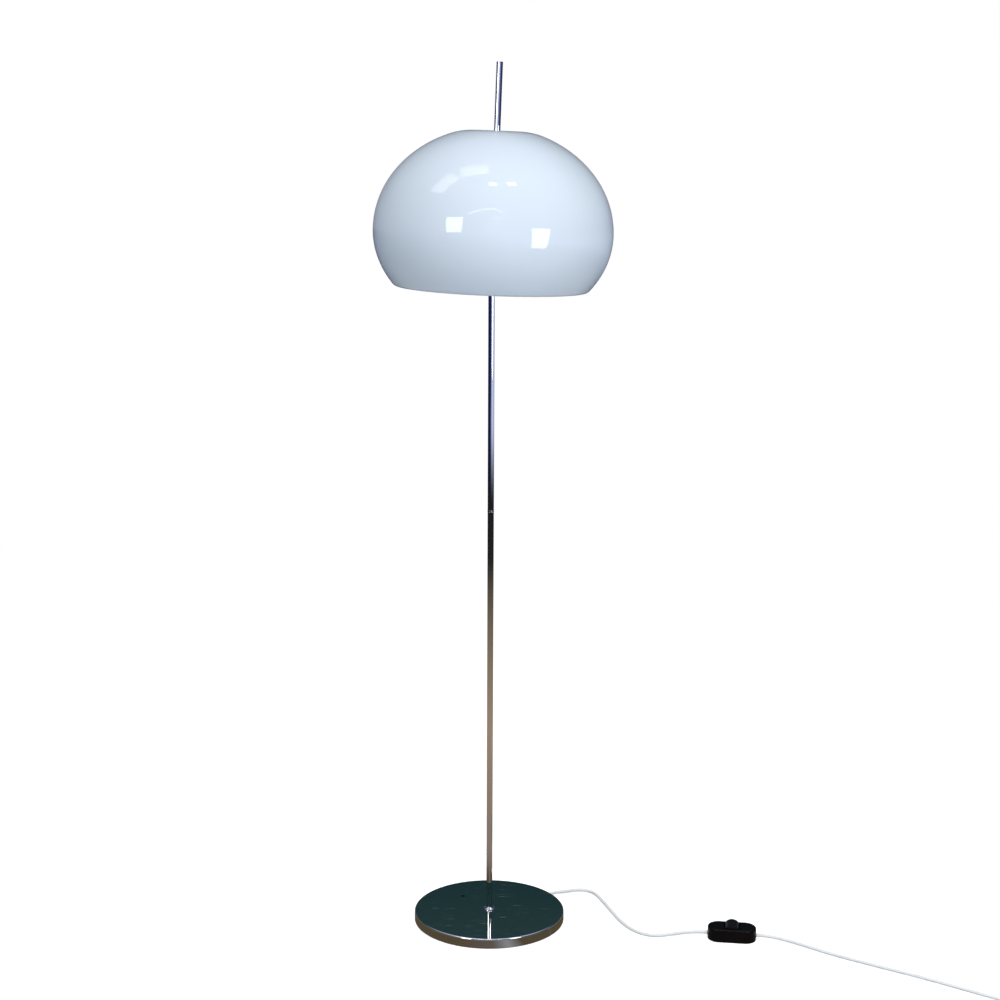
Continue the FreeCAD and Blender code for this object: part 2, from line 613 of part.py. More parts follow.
def carrier_plate():
    """Disc with a turned-down edge, on the hub's flange."""
    plate = turned((HUB_SPIGOT_RADIUS + SEAT_FIT, HUB_TOP), (PLATE_RADIUS - PLATE_THICKNESS, HUB_TOP),
                   (PLATE_RADIUS - PLATE_THICKNESS, PLATE_TOP - PLATE_EDGE), (PLATE_RADIUS, PLATE_TOP - PLATE_EDGE),
                   (PLATE_RADIUS, PLATE_TOP), (HUB_SPIGOT_RADIUS + SEAT_FIT, PLATE_TOP))
    return plate.makeFillet(PLATE_THICKNESS / 2, [e for e in level_edges(plate, PLATE_TOP)
                                                  if e.Length > 2 * math.pi * SEAT_RING_OUTER])


def carrier_nut():
    nut = hexagon(CARRIER_NUT_ACROSS, PLATE_TOP, PLATE_TOP + CARRIER_NUT_THICKNESS)
    return nut.cut(bar(HUB_SPIGOT_RADIUS + SEAT_FIT, PLATE_TOP - OVERCUT, PLATE_TOP + OVERCUT))


def carrier_hub():
    """Sleeve that slides on the rod, with a flange under the plate and a boss for the thumbscrew."""
    flange_low = HUB_TOP - HUB_FLANGE
    hub = bar(HUB_RADIUS, flange_low - HUB_LENGTH, HUB_TOP)
    hub = hub.fuse(bar(HUB_FLANGE_RADIUS, flange_low, HUB_TOP))
    hub = hub.fuse(bar(HUB_SPIGOT_RADIUS, HUB_TOP - OVERCUT, PLATE_TOP + CARRIER_NUT_THICKNESS))
    hub = hub.fuse(placed(bar(BOSS_RADIUS, 0, BOSS_REACH), screw_placement()))
    hub = hub.cut(bar(TUBE_RADIUS + SLIDE_FIT, flange_low - HUB_LENGTH - OVERCUT, PLATE_TOP + OVERCUT))
    hub = hub.cut(placed(bar(SCREW_RADIUS + SLIDE_FIT, 0, BOSS_REACH + OVERCUT), screw_placement()))
    return hub.removeSplitter()


def screw_placement():
    return FreeCAD.Placement(V(0, 0, SCREW_HEIGHT), FreeCAD.Rotation(V(1, 0, 0), 90))


def thumbscrew():
    """Clamp screw with a fluted knob; its +Z points away from the rod."""
    stem_start = BOSS_REACH + FACE_GAP
    knob_start = stem_start + KNOB_STEM
    knob_end = knob_start + KNOB_LENGTH
    edge = 1.0
    screw = turned((0, TUBE_RADIUS + FACE_GAP), (SCREW_RADIUS, TUBE_RADIUS + FACE_GAP), (SCREW_RADIUS, stem_start),
                   (KNOB_STEM_RADIUS, stem_start), (KNOB_STEM_RADIUS, knob_start), (KNOB_RADIUS - edge, knob_start),
                   (KNOB_RADIUS, knob_start + edge), (KNOB_RADIUS, knob_end - edge),
                   (KNOB_RADIUS - edge, knob_end), (0, knob_end))
    for flute in range(KNOB_FLUTES):
        angle = 2 * math.pi * flute / KNOB_FLUTES
        reach = KNOB_RADIUS + KNOB_FLUTE_RADIUS / 2
        tool = bar(KNOB_FLUTE_RADIUS, knob_start - OVERCUT, knob_end + OVERCUT)
        offset = V(reach * math.cos(angle), reach * math.sin(angle), 0)
        screw = screw.cut(placed(tool, FreeCAD.Placement(offset, FreeCAD.Rotation())))
    return placed(screw, screw_placement())


# ---- Foot switch ----
def switch_outline(inset):
    """The switch's whole body, drawn in by a wall thickness."""
    body = rounded_block(SWITCH_LENGTH - 2 * inset, SWITCH_WIDTH - 2 * inset, SWITCH_CORNER - inset,
                         inset, SWITCH_HEIGHT - inset)
    if inset:
        return body
    body = body.makeFillet(SWITCH_TOP_EDGE, level_edges(body, SWITCH_HEIGHT))
    return body.makeFillet(SWITCH_BOTTOM_EDGE, level_edges(body, 0))


def switch_half(low, high):
    """Hollow shell between two heights, with its share of the two cord holes and the screw posts."""
    slab = block(SWITCH_LENGTH + OVERCUT, SWITCH_WIDTH + OVERCUT, low, high)
    shell = switch_outline(0).cut(switch_outline(SWITCH_WALL)).common(slab)
    for side in (-1, 1):
        post = bar(POST_RADIUS, SWITCH_WALL / 2, SWITCH_HEIGHT - SWITCH_WALL / 2).common(slab)
        shell = shell.fuse(placed(post, FreeCAD.Placement(V(side * POST_PLACE, 0, 0), FreeCAD.Rotation())))
    for relief in (relief_placement(-1), relief_placement(1)):
        shell = shell.cut(placed(bar(RELIEF_RADIUS + SEAT_FIT, -RELIEF_FLANGE - SWITCH_WALL, OVERCUT), relief))
    return shell


def relief_placement(side):
    """Placement at an end of the switch, whose +Z points out along the cord."""
    turn = FreeCAD.Rotation(V(0, 1, 0), 90 * side)
    return FreeCAD.Placement(V(side * SWITCH_LENGTH / 2, 0, CORD_IN_SWITCH), turn)


def switch_screw_placement(side):
    return FreeCAD.Placement(V(side * POST_PLACE, 0, 0), FreeCAD.Rotation())


def switch_base():
    shell = switch_half(0, SWITCH_SEAM)
    for side in (-1, 1):
        hole = bar(SWITCH_SCREW_RADIUS + SEAT_FIT, -OVERCUT, SWITCH_HEIGHT)
        sink = bar(SWITCH_SCREW_HEAD + SEAT_FIT, -OVERCUT, SWITCH_SCREW_HEAD_HEIGHT + FACE_GAP)
        shell = shell.cut(placed(hole.fuse(sink), switch_screw_placement(side)))
    return shell.removeSplitter()


def switch_cover():
    shell = switch_half(SWITCH_SEAM, SWITCH_HEIGHT)
    under_wall = SWITCH_HEIGHT - SWITCH_WALL - ROCKER_ARCH_HEIGHT
    half_chord = math.sqrt(ROCKER_ARCH_RADIUS ** 2 - under_wall ** 2)
    swing = (ROCKER_ARCH_HEIGHT - ROCKER_PIVOT_HEIGHT) * math.sin(math.radians(ROCKER_TILT))
    slot_length = 2 * (half_chord + swing + 2 * FACE_GAP)
    slot = block(slot_length, ROCKER_WIDTH + 4 * FACE_GAP, SWITCH_SEAM, SWITCH_HEIGHT + OVERCUT)
    lug_place = ROCKER_WIDTH / 2 + 2 * FACE_GAP + LUG_THICKNESS / 2
    for side in (-1, 1):
        lug = block(LUG_WIDTH, LUG_THICKNESS, ROCKER_PIVOT_HEIGHT - LUG_DROP, SWITCH_HEIGHT - SWITCH_WALL / 2)
        shell = shell.fuse(placed(lug, FreeCAD.Placement(V(0, side * lug_place, 0), FreeCAD.Rotation())))
        blind = bar(SWITCH_SCREW_RADIUS + SEAT_FIT, SWITCH_SEAM - OVERCUT, SWITCH_SCREW_LENGTH + SWITCH_SCREW_HEAD)
        shell = shell.cut(placed(blind, switch_screw_placement(side)))
    pin_hole = across_switch(PIN_RADIUS + SEAT_FIT, 2 * lug_place + LUG_THICKNESS)
    return shell.cut(slot).cut(pin_hole).removeSplitter()


def across_switch(radius, length, height=ROCKER_PIVOT_HEIGHT):
    """Cylinder across the switch, on the rocker's pivot unless a height is given."""
    return Part.makeCylinder(radius, length, V(0, -length / 2, height), V(0, 1, 0))


def switch_rocker():
    """Rocker with an arched, grooved top and a flat underside."""
    slab = block(3 * ROCKER_ARCH_RADIUS, ROCKER_WIDTH, ROCKER_BOTTOM, SWITCH_HEIGHT + ROCKER_RISE)
    rocker = across_switch(ROCKER_ARCH_RADIUS, ROCKER_WIDTH, ROCKER_ARCH_HEIGHT).common(slab)
    for groove in range(ROCKER_GROOVES):
        angle = math.radians((groove - (ROCKER_GROOVES - 1) / 2) * ROCKER_GROOVE_STEP)
        height = ROCKER_ARCH_HEIGHT + ROCKER_ARCH_RADIUS * math.cos(angle)
        tool = across_switch(ROCKER_GROOVE_RADIUS, ROCKER_WIDTH + OVERCUT, height)
        tool.translate(V(ROCKER_ARCH_RADIUS * math.sin(angle), 0, 0))
        rocker = rocker.cut(tool)
    return rocker.cut(across_switch(PIN_RADIUS + SLIDE_FIT, ROCKER_WIDTH + OVERCUT)).removeSplitter()


def rocker_pin():
    return across_switch(PIN_RADIUS, ROCKER_WIDTH + 4 * FACE_GAP + 2 * LUG_THICKNESS)


def switch_screw():
    head = SWITCH_SCREW_HEAD_HEIGHT + FACE_GAP
    return turned((0, FACE_GAP), (SWITCH_SCREW_HEAD, FACE_GAP), (SWITCH_SCREW_HEAD, head),
                  (SWITCH_SCREW_RADIUS, head), (SWITCH_SCREW_RADIUS, head + SWITCH_SCREW_LENGTH),
                  (0, head + SWITCH_SCREW_LENGTH))


def switch_relief():
    """Bush in the switch's end wall, round the cord; +Z points out along the cord."""
    inner = -SWITCH_WALL - 3 * FACE_GAP
    bore = CORD_RADIUS + SEAT_FIT
    return turned((bore, inner - RELIEF_FLANGE), (RELIEF_FLANGE_RADIUS, inner - RELIEF_FLANGE),
                  (RELIEF_FLANGE_RADIUS, inner), (RELIEF_RADIUS, inner), (RELIEF_RADIUS, RELIEF_NOSE / 2),
                  (RELIEF_RADIUS - RELIEF_NOSE / 2, RELIEF_NOSE), (bore, RELIEF_NOSE))


def switch_tail():
    """End of the cord inside the switch, as far as the bush's outer face."""
    return bar(CORD_RADIUS, -SWITCH_WALL - 3 * RELIEF_FLANGE, RELIEF_NOSE)


# ---- Cord ----
def swept(path, radius, start, direction):
    section = Part.Wire([Part.Circle(start, direction, radius).toShape()])
    return path.makePipeShell([section], True, False)


def cord_tube(name, points):
    """Tube along straight runs that are joined by tangent arcs; prints each arc's radius."""
    points = [V(point) for point in points]
    edges = []
    radii = []
    here = points[0]
    for before, corner, after in zip(points, points[1:], points[2:]):
        back = before - corner
        ahead = after - corner
        half_turn = (math.pi - back.getAngle(ahead)) / 2
        trim = 0.45 * min(back.Length, ahead.Length)
        radii.append(trim / math.tan(half_turn))
        back.normalize()
        ahead.normalize()
        arc_start = corner + back * trim
        arc_end = corner + ahead * trim
        inwards = (back + ahead).normalize()
        middle = corner + inwards * (radii[-1] / math.cos(half_turn) - radii[-1])
        edges.append(Part.LineSegment(here, arc_start).toShape())
        edges.append(Part.Arc(arc_start, middle, arc_end).toShape())
        here = arc_end
    edges.append(Part.LineSegment(here, points[-1]).toShape())
    path = Part.Wire(edges)
    tube = swept(path, CORD_RADIUS, points[0], points[1] - points[0])
    expected = math.pi * CORD_RADIUS ** 2 * path.Length
    print(name, "length", round(path.Length), "radii", [round(r) for r in radii],
          "volume over section times length", round(tube.Volume / expected, 4))
    return tube


def run_out(placement, distance):
    """A cord end's point on the +Z axis of the piece that holds it, and the end of its straight run."""
    return (placement.multVec(V(0, 0, distance)), placement.multVec(V(0, 0, distance + END_RUN)))


def cord_to_switch():
    start = run_out(gland_placement(), GLAND_FACE)
    end = run_out(SWITCH.multiply(relief_placement(-1)), RELIEF_NOSE)
    return cord_tube("cord_to_switch", start + CORD_TO_SWITCH + end[::-1])


def cord_to_coil():
    start = run_out(SWITCH.multiply(relief_placement(1)), RELIEF_NOSE)
    heading = math.radians(COIL_HEADING)
    coil_start = V(*COIL_START, COIL_HEIGHT)
    before_coil = coil_start - V(math.cos(heading), math.sin(heading), 0) * END_RUN
    return cord_tube("cord_to_coil", start + CORD_TO_COIL + (before_coil, coil_start))


def cord_to_plug():
    _, _, _, coil_end, outlet = coil_path()
    plug = plug_placement()
    before_plug = plug.multVec(V(0, 0, -END_RUN))
    return cord_tube("cord_to_plug", (coil_end, coil_end + outlet * END_RUN) + CORD_TO_PLUG + (before_plug, plug.Base))


# ---- Coil ----
def coil_radius(turn):
    """Radius of the coil's centre line after some radians: it spirals in, then out again."""
    reversal = 2 * math.pi * COIL_TURNS_IN
    inner = COIL_OUTER_RADIUS - COIL_PITCH * COIL_TURNS_IN
    return inner + COIL_PITCH * abs(turn - reversal) / (2 * math.pi)


def coil_height(turn):
    """It climbs one layer in the half turn round the reversal."""
    into_climb = turn - 2 * math.pi * COIL_TURNS_IN + math.pi / 2
    share = min(max(into_climb / math.pi, 0), 1)
    return COIL_HEIGHT + COIL_PITCH * (1 - math.cos(math.pi * share)) / 2


def coil_point(turn):
    angle = turn + math.radians(COIL_HEADING - 90)
    radius = coil_radius(turn)
    return coil_centre() + V(radius * math.cos(angle), radius * math.sin(angle), coil_height(turn))


def coil_centre():
    heading = math.radians(COIL_HEADING)
    ahead = V(math.cos(heading), math.sin(heading), 0) * (2 * CORD_RADIUS)
    left = V(-math.sin(heading), math.cos(heading), 0) * COIL_OUTER_RADIUS
    return V(*COIL_START, 0) + ahead + left


def coil_direction(turn):
    step = 0.05
    return (coil_point(turn + step) - coil_point(turn - step)).normalize()


def arc_along(start, direction, end):
    """Arc from a point, with a direction there, to another point."""
    chord = end - start
    along = V(chord).normalize()
    side = direction - along * direction.dot(along)
    lean = math.atan2(side.Length, direction.dot(along))
    middle = (start + end) / 2 + side.normalize() * (chord.Length / 2 * math.tan(lean / 2))
    return Part.Arc(start, middle, end).toShape()


def biarc(start, start_direction, end, end_direction):
    """Two arcs that join two points and keep the direction at both."""
    chord = end - start
    square = 2 * (1 - start_direction.dot(end_direction))
    linear = 2 * chord.dot(start_direction + end_direction)
    reach = (math.sqrt(linear ** 2 + 4 * square * chord.dot(chord)) - linear) / (2 * square)
    joint = (start + start_direction * reach + end - end_direction * reach) / 2
    joint_direction = (end - end_direction * reach - joint).normalize()
    return [arc_along(start, start_direction, joint), arc_along(joint, joint_direction, end)]


def coil_path():
    """The coil's centre line: a straight inlet, biarcs of a quarter turn, and a straight outlet."""
    quarters = round(4 * (COIL_TURNS_IN + COIL_TURNS_OUT))
    turns = [quarter * math.pi / 2 for quarter in range(quarters + 1)]
    heading = math.radians(COIL_HEADING)
    inlet = V(math.cos(heading), math.sin(heading), 0)
    last = turns[-1] + heading
    outlet = V(math.cos(last), math.sin(last), 0)
    directions = [inlet] + [coil_direction(turn) for turn in turns[1:-1]] + [outlet]
    start = V(*COIL_START, COIL_HEIGHT)
    edges = [Part.LineSegment(start, coil_point(0)).toShape()]
    for index in range(quarters):
        edges += biarc(coil_point(turns[index]), directions[index], coil_point(turns[index + 1]), directions[index + 1])
    end = coil_point(turns[-1])
    edges.append(Part.LineSegment(end, end + outlet * (2 * CORD_RADIUS)).toShape())
    return Part.Wire(edges), start, inlet, end + outlet * (2 * CORD_RADIUS), outlet


def cord_coil():
    path, start, inlet, _, _ = coil_path()
    tube = swept(path, CORD_RADIUS, start, inlet)
    spacing = 4.0
    points = path.discretize(Distance=spacing)
    apart = int(6 * COIL_PITCH / spacing)
    least = min(points[i].distanceToPoint(points[j]) for i in range(len(points)) for j in range(i + apart, len(points)))
    print("coil length", round(path.Length), "least gap to itself", round(least - 2 * CORD_RADIUS, 2))
    return tube


def coil_tie():
    """Band round the coil's turns, flat under them on the floor."""
    turns = [math.radians(TIE_TURN) + 2 * math.pi * lap for lap in range(int(COIL_TURNS_IN + COIL_TURNS_OUT))]
    radii = [coil_radius(turn) for turn in turns]
    inner = min(radii) - CORD_RADIUS - 3 * FACE_GAP
    outer = max(radii) + CORD_RADIUS + 3 * FACE_GAP
    low = COIL_HEIGHT - CORD_RADIUS - FACE_GAP
    high = COIL_HEIGHT + COIL_PITCH + CORD_RADIUS + FACE_GAP
    hole = block(outer - inner, TIE_WIDTH + OVERCUT, low, high)
    level = [edge for edge in hole.Edges if abs(edge.tangentAt(edge.FirstParameter).y) > 0.99]
    hole = hole.makeFillet(TIE_CORNER, level)
    band = block(outer - inner + 2 * TIE_THICKNESS, TIE_WIDTH, low - TIE_THICKNESS, high + TIE_THICKNESS)
    level = [edge for edge in band.Edges if abs(edge.tangentAt(edge.FirstParameter).y) > 0.99]
    band = band.makeFillet(TIE_CORNER + TIE_THICKNESS, level).cut(hole)
    band.translate(V((inner + outer) / 2, 0, 0))
    turn = FreeCAD.Rotation(Z_AXIS, COIL_HEADING - 90 + TIE_TURN)
    return placed(band, FreeCAD.Placement(coil_centre(), turn))


# ---- Plug ----
def plug_placement():
    """Placement at the plug's tail, whose +Z runs along the plug towards its pins and +Y is up."""
    place = V(*PLUG_TAIL, PLUG_THICKNESS / 2 + SEAT_FIT)
    turn = FreeCAD.Rotation(Z_AXIS, PLUG_HEADING) * FreeCAD.Rotation(V(0, 1, 0), 90) * FreeCAD.Rotation(Z_AXIS, 90)
    return FreeCAD.Placement(place, turn)


def plug_section(width, thickness, corner, height):
    plate = rounded_block(width, thickness, corner, height, height + 1)
    return min(plate.Faces, key=lambda face: face.CenterOfMass.z).OuterWire


def plug_body():
    """Flat two-pin plug with a narrower tail."""
    start = PLUG_RELIEF_LENGTH
    sections = [plug_section(PLUG_TAIL_WIDTH, PLUG_TAIL_THICKNESS, 4.0, start),
                plug_section(PLUG_WAIST_WIDTH, PLUG_THICKNESS - 1, 5.0, start + PLUG_LENGTH / 3),
                plug_section(PLUG_WIDTH, PLUG_THICKNESS, 5.5, start + PLUG_LENGTH * 0.7),
                plug_section(PLUG_WIDTH, PLUG_THICKNESS, 5.5, start + PLUG_LENGTH)]
    body = Part.makeLoft(sections, True, True)
    for side in (-1, 1):
        root = bar(PLUG_PIN_RADIUS + SEAT_FIT, start + PLUG_LENGTH - PLUG_PIN_ROOT, start + PLUG_LENGTH + OVERCUT)
        body = body.cut(placed(root, FreeCAD.Placement(V(side * PIN_SPACING / 2, 0, 0), FreeCAD.Rotation())))
    return body


def plug_pin():
    """Round pin with a thinner insulating sleeve and a rounded tip."""
    face = PLUG_RELIEF_LENGTH + PLUG_LENGTH
    tip = face + PLUG_PIN_LENGTH
    sleeve = PLUG_PIN_RADIUS - 0.15
    round_start = tip - PLUG_PIN_RADIUS
    middle = (PLUG_PIN_RADIUS * math.sqrt(0.5), round_start + PLUG_PIN_RADIUS * math.sqrt(0.5))
    return turned((0, face - PLUG_PIN_ROOT), (sleeve, face - PLUG_PIN_ROOT), (sleeve, face + PLUG_PIN_SLEEVE),
                  (PLUG_PIN_RADIUS, face + PLUG_PIN_SLEEVE), (PLUG_PIN_RADIUS, round_start), (middle, (0, tip)))


def plug_relief():
    """Tapered, grooved sleeve between the cord and the plug."""
    pitch = PLUG_RELIEF_LENGTH / (PLUG_RELIEF_GROOVES + 1)
    profile = [(0, 0), (PLUG_RELIEF_END, 0)]
    for groove in range(1, PLUG_RELIEF_GROOVES + 1):
        place = groove * pitch
        share = place / PLUG_RELIEF_LENGTH
        radius = PLUG_RELIEF_END + (PLUG_RELIEF_RADIUS - PLUG_RELIEF_END) * share
        for offset, depth in ((-pitch / 5, 0), (-pitch / 5, 0.7), (pitch / 5, 0.7), (pitch / 5, 0)):
            profile.append((radius - depth, place + offset))
    profile += [(PLUG_RELIEF_RADIUS, PLUG_RELIEF_LENGTH), (0, PLUG_RELIEF_LENGTH)]
    return turned(*profile)


# ---- Everything, in its place ----
def build():
    save("base_cover", base_cover())
    save("ballast_disc", ballast_disc())
    save("felt_pad", felt_pad())
    save("base_washer", base_washer())
    save("base_lock_nut", base_lock_nut())
    save("base_nipple", base_nipple())
    save("foot_collar", foot_collar())
    save("cord_gland", cord_gland())
    save("cord_inner", cord_inner())
    save("cord_clip", cord_clip())
    save("lower_tube", threaded_tube(BASE_HEIGHT, JOINT_HEIGHT))
    save("joint_nipple", ring(NIPPLE_RADIUS, NIPPLE_BORE, JOINT_HEIGHT - THREAD_DEPTH, UPPER_TUBE_FOOT + THREAD_DEPTH))
    save("joint_ring", joint_ring())
    save("upper_tube", threaded_tube(UPPER_TUBE_FOOT, BALL_HEIGHT - PORT_REACH))
    save("pole_lead", pole_lead())
    nipple_low = BALL_HEIGHT - PORT_REACH - THREAD_DEPTH
    nipple_high = BALL_HEIGHT - PORT_REACH + NIPPLE_DEPTH_IN_BALL
    save("cluster_nipple", ring(NIPPLE_RADIUS, NIPPLE_BORE, nipple_low, nipple_high))
    lower, upper = cluster_halves()
    save("cluster_lower", lower)
    save("cluster_upper", upper)
    save("terminal_block", terminal_block())
    for index in range(ARM_COUNT):
        place = arm_placement(index)
        save(f"arm_{index + 1}", placed(arm(), place))
        save(f"lamp_holder_{index + 1}", placed(lamp_holder(), place))
        save(f"bulb_cap_{index + 1}", placed(bulb_cap(), place))
        save(f"bulb_glass_{index + 1}", placed(bulb_glass(), place))
    leaning = {"rod_collar": rod_collar, "rod_nipple": rod_nipple, "guide_rod": guide_rod,
               "rod_end_cap": rod_end_cap, "shade": shade, "seat_ring": seat_ring,
               "carrier_plate": carrier_plate, "carrier_nut": carrier_nut, "carrier_hub": carrier_hub,
               "thumbscrew": thumbscrew}
    for name, make in leaning.items():
        save(name, placed(make(), LEAN))
    for name, make in {"switch_base": switch_base, "switch_cover": switch_cover,
                       "switch_rocker": switch_rocker, "rocker_pin": rocker_pin}.items():
        save(name, placed(make(), SWITCH))
    for side, end in ((-1, "in"), (1, "out")):
        save(f"switch_screw_{end}", placed(switch_screw(), SWITCH.multiply(switch_screw_placement(side))))
        relief = SWITCH.multiply(relief_placement(side))
        save(f"switch_relief_{end}", placed(switch_relief(), relief))
        save(f"switch_tail_{end}", placed(switch_tail(), relief))
    save("cord_to_switch", cord_to_switch())
    save("cord_to_coil", cord_to_coil())
    save("cord_coil", cord_coil())
    save("cord_to_plug", cord_to_plug())
    save("coil_tie", coil_tie())
    plug = plug_placement()
    save("plug_body", placed(plug_body(), plug))
    save("plug_relief", placed(plug_relief(), plug))
    for side, name in ((-1, "plug_pin_left"), (1, "plug_pin_right")):
        shift = FreeCAD.Placement(V(side * PIN_SPACING / 2, 0, 0), FreeCAD.Rotation())
        save(name, placed(plug_pin(), plug.multiply(shift)))


os.makedirs("parts", exist_ok=True)
build()
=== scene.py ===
# %% [markdown]
# # A mushroom floor lamp
# The frame is the lamp's own CAD model: every part of it is already in place, in metres, and stays where it
# is. This script dresses that frame. It gives each part its finish, makes the turned and spun parts again
# as smooth surfaces, lays the cord as a curve, and lights the lamp for a picture.

# %% Load the frame
import json
import math

import bmesh
import bpy
from mathutils import Matrix, Vector


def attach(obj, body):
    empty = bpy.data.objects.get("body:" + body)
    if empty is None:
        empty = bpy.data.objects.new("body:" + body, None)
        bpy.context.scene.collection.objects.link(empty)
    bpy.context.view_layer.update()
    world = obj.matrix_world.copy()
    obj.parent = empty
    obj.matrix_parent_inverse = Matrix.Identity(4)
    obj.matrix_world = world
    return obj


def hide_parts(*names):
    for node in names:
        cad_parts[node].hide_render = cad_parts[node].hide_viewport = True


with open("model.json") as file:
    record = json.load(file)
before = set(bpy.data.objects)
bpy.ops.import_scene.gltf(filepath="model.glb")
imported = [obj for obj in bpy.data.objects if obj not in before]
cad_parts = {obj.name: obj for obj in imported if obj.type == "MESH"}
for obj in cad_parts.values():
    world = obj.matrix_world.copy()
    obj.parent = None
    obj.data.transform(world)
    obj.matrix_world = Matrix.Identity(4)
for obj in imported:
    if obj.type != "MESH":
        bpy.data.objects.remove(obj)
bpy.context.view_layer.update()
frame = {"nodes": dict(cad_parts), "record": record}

# %% [markdown]
# ## Camera
# A camera is described by where it stands, how far it looks down, how far it rolls, and its lens. These
# were found by fitting the outlines of the foot, pole and shade. The lens is long and stands well back, so
# the lamp shows little perspective.

# %% Camera
EYE = (0.0177, -3.4992, 1.5093)
LOOKS_DOWN = 0.1855
ROLL = 0.0047
LENS = 66.72

camera = bpy.data.objects.new("camera", bpy.data.cameras.new("camera"))
camera.data.lens = LENS
camera.data.sensor_width = 36
turn = Matrix.Rotation(math.pi / 2 - LOOKS_DOWN, 4, "X") @ Matrix.Rotation(ROLL, 4, "Z")
camera.matrix_world = Matrix.Translation(EYE) @ turn
bpy.context.scene.collection.objects.link(camera)
bpy.context.scene.camera = camera
bpy.context.scene.view_settings.view_transform = "Standard"
print("camera at", EYE, "lens", LENS)

# %% [markdown]
# ## Sizes
# The few sizes that several cells need. The frame is in metres, and the lamp's sizes are in millimetres, so
# a factor turns one into the other. The guide rod and the shade share one lean about the ball under them.

# %% Sizes
MM = 0.001
BALL_HEIGHT = 1285 * MM
ROD_LEAN = math.radians(2)
CORD_RADIUS = 3.2 * MM
LEAN = Matrix.Translation((0, 0, BALL_HEIGHT)) @ Matrix.Rotation(ROD_LEAN, 4, "Y")


def millimetres(points):
    return [Vector(point) * MM for point in points]


# %% [markdown]
# ## Cord
# A cord is a fixed length of something flexible. A NURBS curve whose control points are the corners of its
# route bends the way a lead does, with no kinks. It leaves the foot at the back right, swings forward into
# the foot switch, and runs on across the floor. The length that is left over is wound into a tied coil, and
# the plug lies beside it.

# %% Route of the cord
TO_SWITCH = millimetres([
    (119.12, 99.95, 8.2), (134.44, 112.81, 8.2), (156.5, 126.2, 4.2), (177.7, 138.1, 3.2),
    (199.6, 137.1, 3.2), (217.1, 124, 3.2), (231.1, 83.3, 3.2), (249, 20, 3.2), (266, -34, 3.2),
    (291, -75, 3.2), (324, -92, 3.2), (352, -83.5, 3.2), (380, -81.2, 6.5), (407.794, -85.059, 10),
    (427.618, -87.705, 10)])
TO_COIL = millimetres([
    (521.982, -100.295, 10), (541.806, -102.941, 10), (578, -109, 4.6), (606, -128, 3.2), (650, -166, 3.2),
    (718, -213, 3.2), (798, -264, 3.2), (868, -315, 3.2), (928, -360, 3.2), (961.82, -383.244, 4.4)])
TO_PLUG = millimetres([(1079, -352.5, 9), (1089.244, -334.18, 6.9), (1101, -318, 6.9)])
COIL_CENTRE = Vector((1010.039, -361.79, 0)) * MM
COIL_HEADING = math.radians(-36)
COIL_HEIGHT = 4.4 * MM
COIL_OUTER_RADIUS = 45.7 * MM
COIL_PITCH = 6.95 * MM
COIL_TURNS_IN = 3
COIL_TURNS = 6.25
COIL_POINTS_PER_TURN = 16
COIL_STRAIGHT_END = 26.4 * MM


def coil_point(turns):
    """Point on the coil's line after some turns: it spirals in, climbs a layer, and spirals out."""
    angle = turns * 2 * math.pi + COIL_HEADING - math.pi / 2
    inner = COIL_OUTER_RADIUS - COIL_PITCH * COIL_TURNS_IN
    radius = inner + COIL_PITCH * abs(turns - COIL_TURNS_IN)
    radius /= math.cos(math.pi / COIL_POINTS_PER_TURN) ** 0.5
    climb = min(max(2 * (turns - COIL_TURNS_IN) + 0.5, 0), 1)
    height = COIL_HEIGHT + COIL_PITCH * (1 - math.cos(math.pi * climb)) / 2
    return COIL_CENTRE + Vector((radius * math.cos(angle), radius * math.sin(angle), height))


coil_steps = range(int(COIL_TURNS * COIL_POINTS_PER_TURN) + 1)
coil_points = [coil_point(step / COIL_POINTS_PER_TURN) for step in coil_steps]
coil_exit = (coil_points[-1] - coil_points[-2]).normalized()
coil_out = [coil_points[-1] + coil_exit * COIL_STRAIGHT_END]
print("coil points", len(coil_points))


# %% Cord curves
def cord_curve(name, points):
    data = bpy.data.curves.new(name, "CURVE")
    data.dimensions = "3D"
    data.bevel_depth = 1
    data.bevel_resolution = 6
    data.resolution_u = 10
    data.use_fill_caps = True
    line = data.splines.new("NURBS")
    line.points.add(len(points) - 1)
    for point, place in zip(line.points, points):
        point.co = (*place, 1)
        point.radius = CORD_RADIUS
    line.order_u = 3
    line.use_endpoint_u = True
    curve = bpy.data.objects.new(name, data)
    bpy.context.scene.collection.objects.link(curve)
    return curve


foot_lead = cord_curve("lead_to_switch", TO_SWITCH)
mains_lead = cord_curve("lead_to_plug", TO_COIL + coil_points + coil_out + TO_PLUG)
switch_pieces = ["switch_base", "switch_cover", "switch_rocker", "rocker_pin"]
for end in ("in", "out"):
    switch_pieces += [f"switch_relief_{end}", f"switch_screw_{end}", f"switch_tail_{end}"]


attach(foot_lead, "stand")
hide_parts("cord_to_switch")
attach(mains_lead, "stand")
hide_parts("cord_to_coil", "cord_coil", "cord_to_plug")
print("cords laid")


# %% [markdown]
# ## Nodes as expressions
# A procedural finish is arithmetic on noise and distances. Written as Python expressions it reads like a
# formula, so a small class stands for one output socket and adds a Math node for each operator.

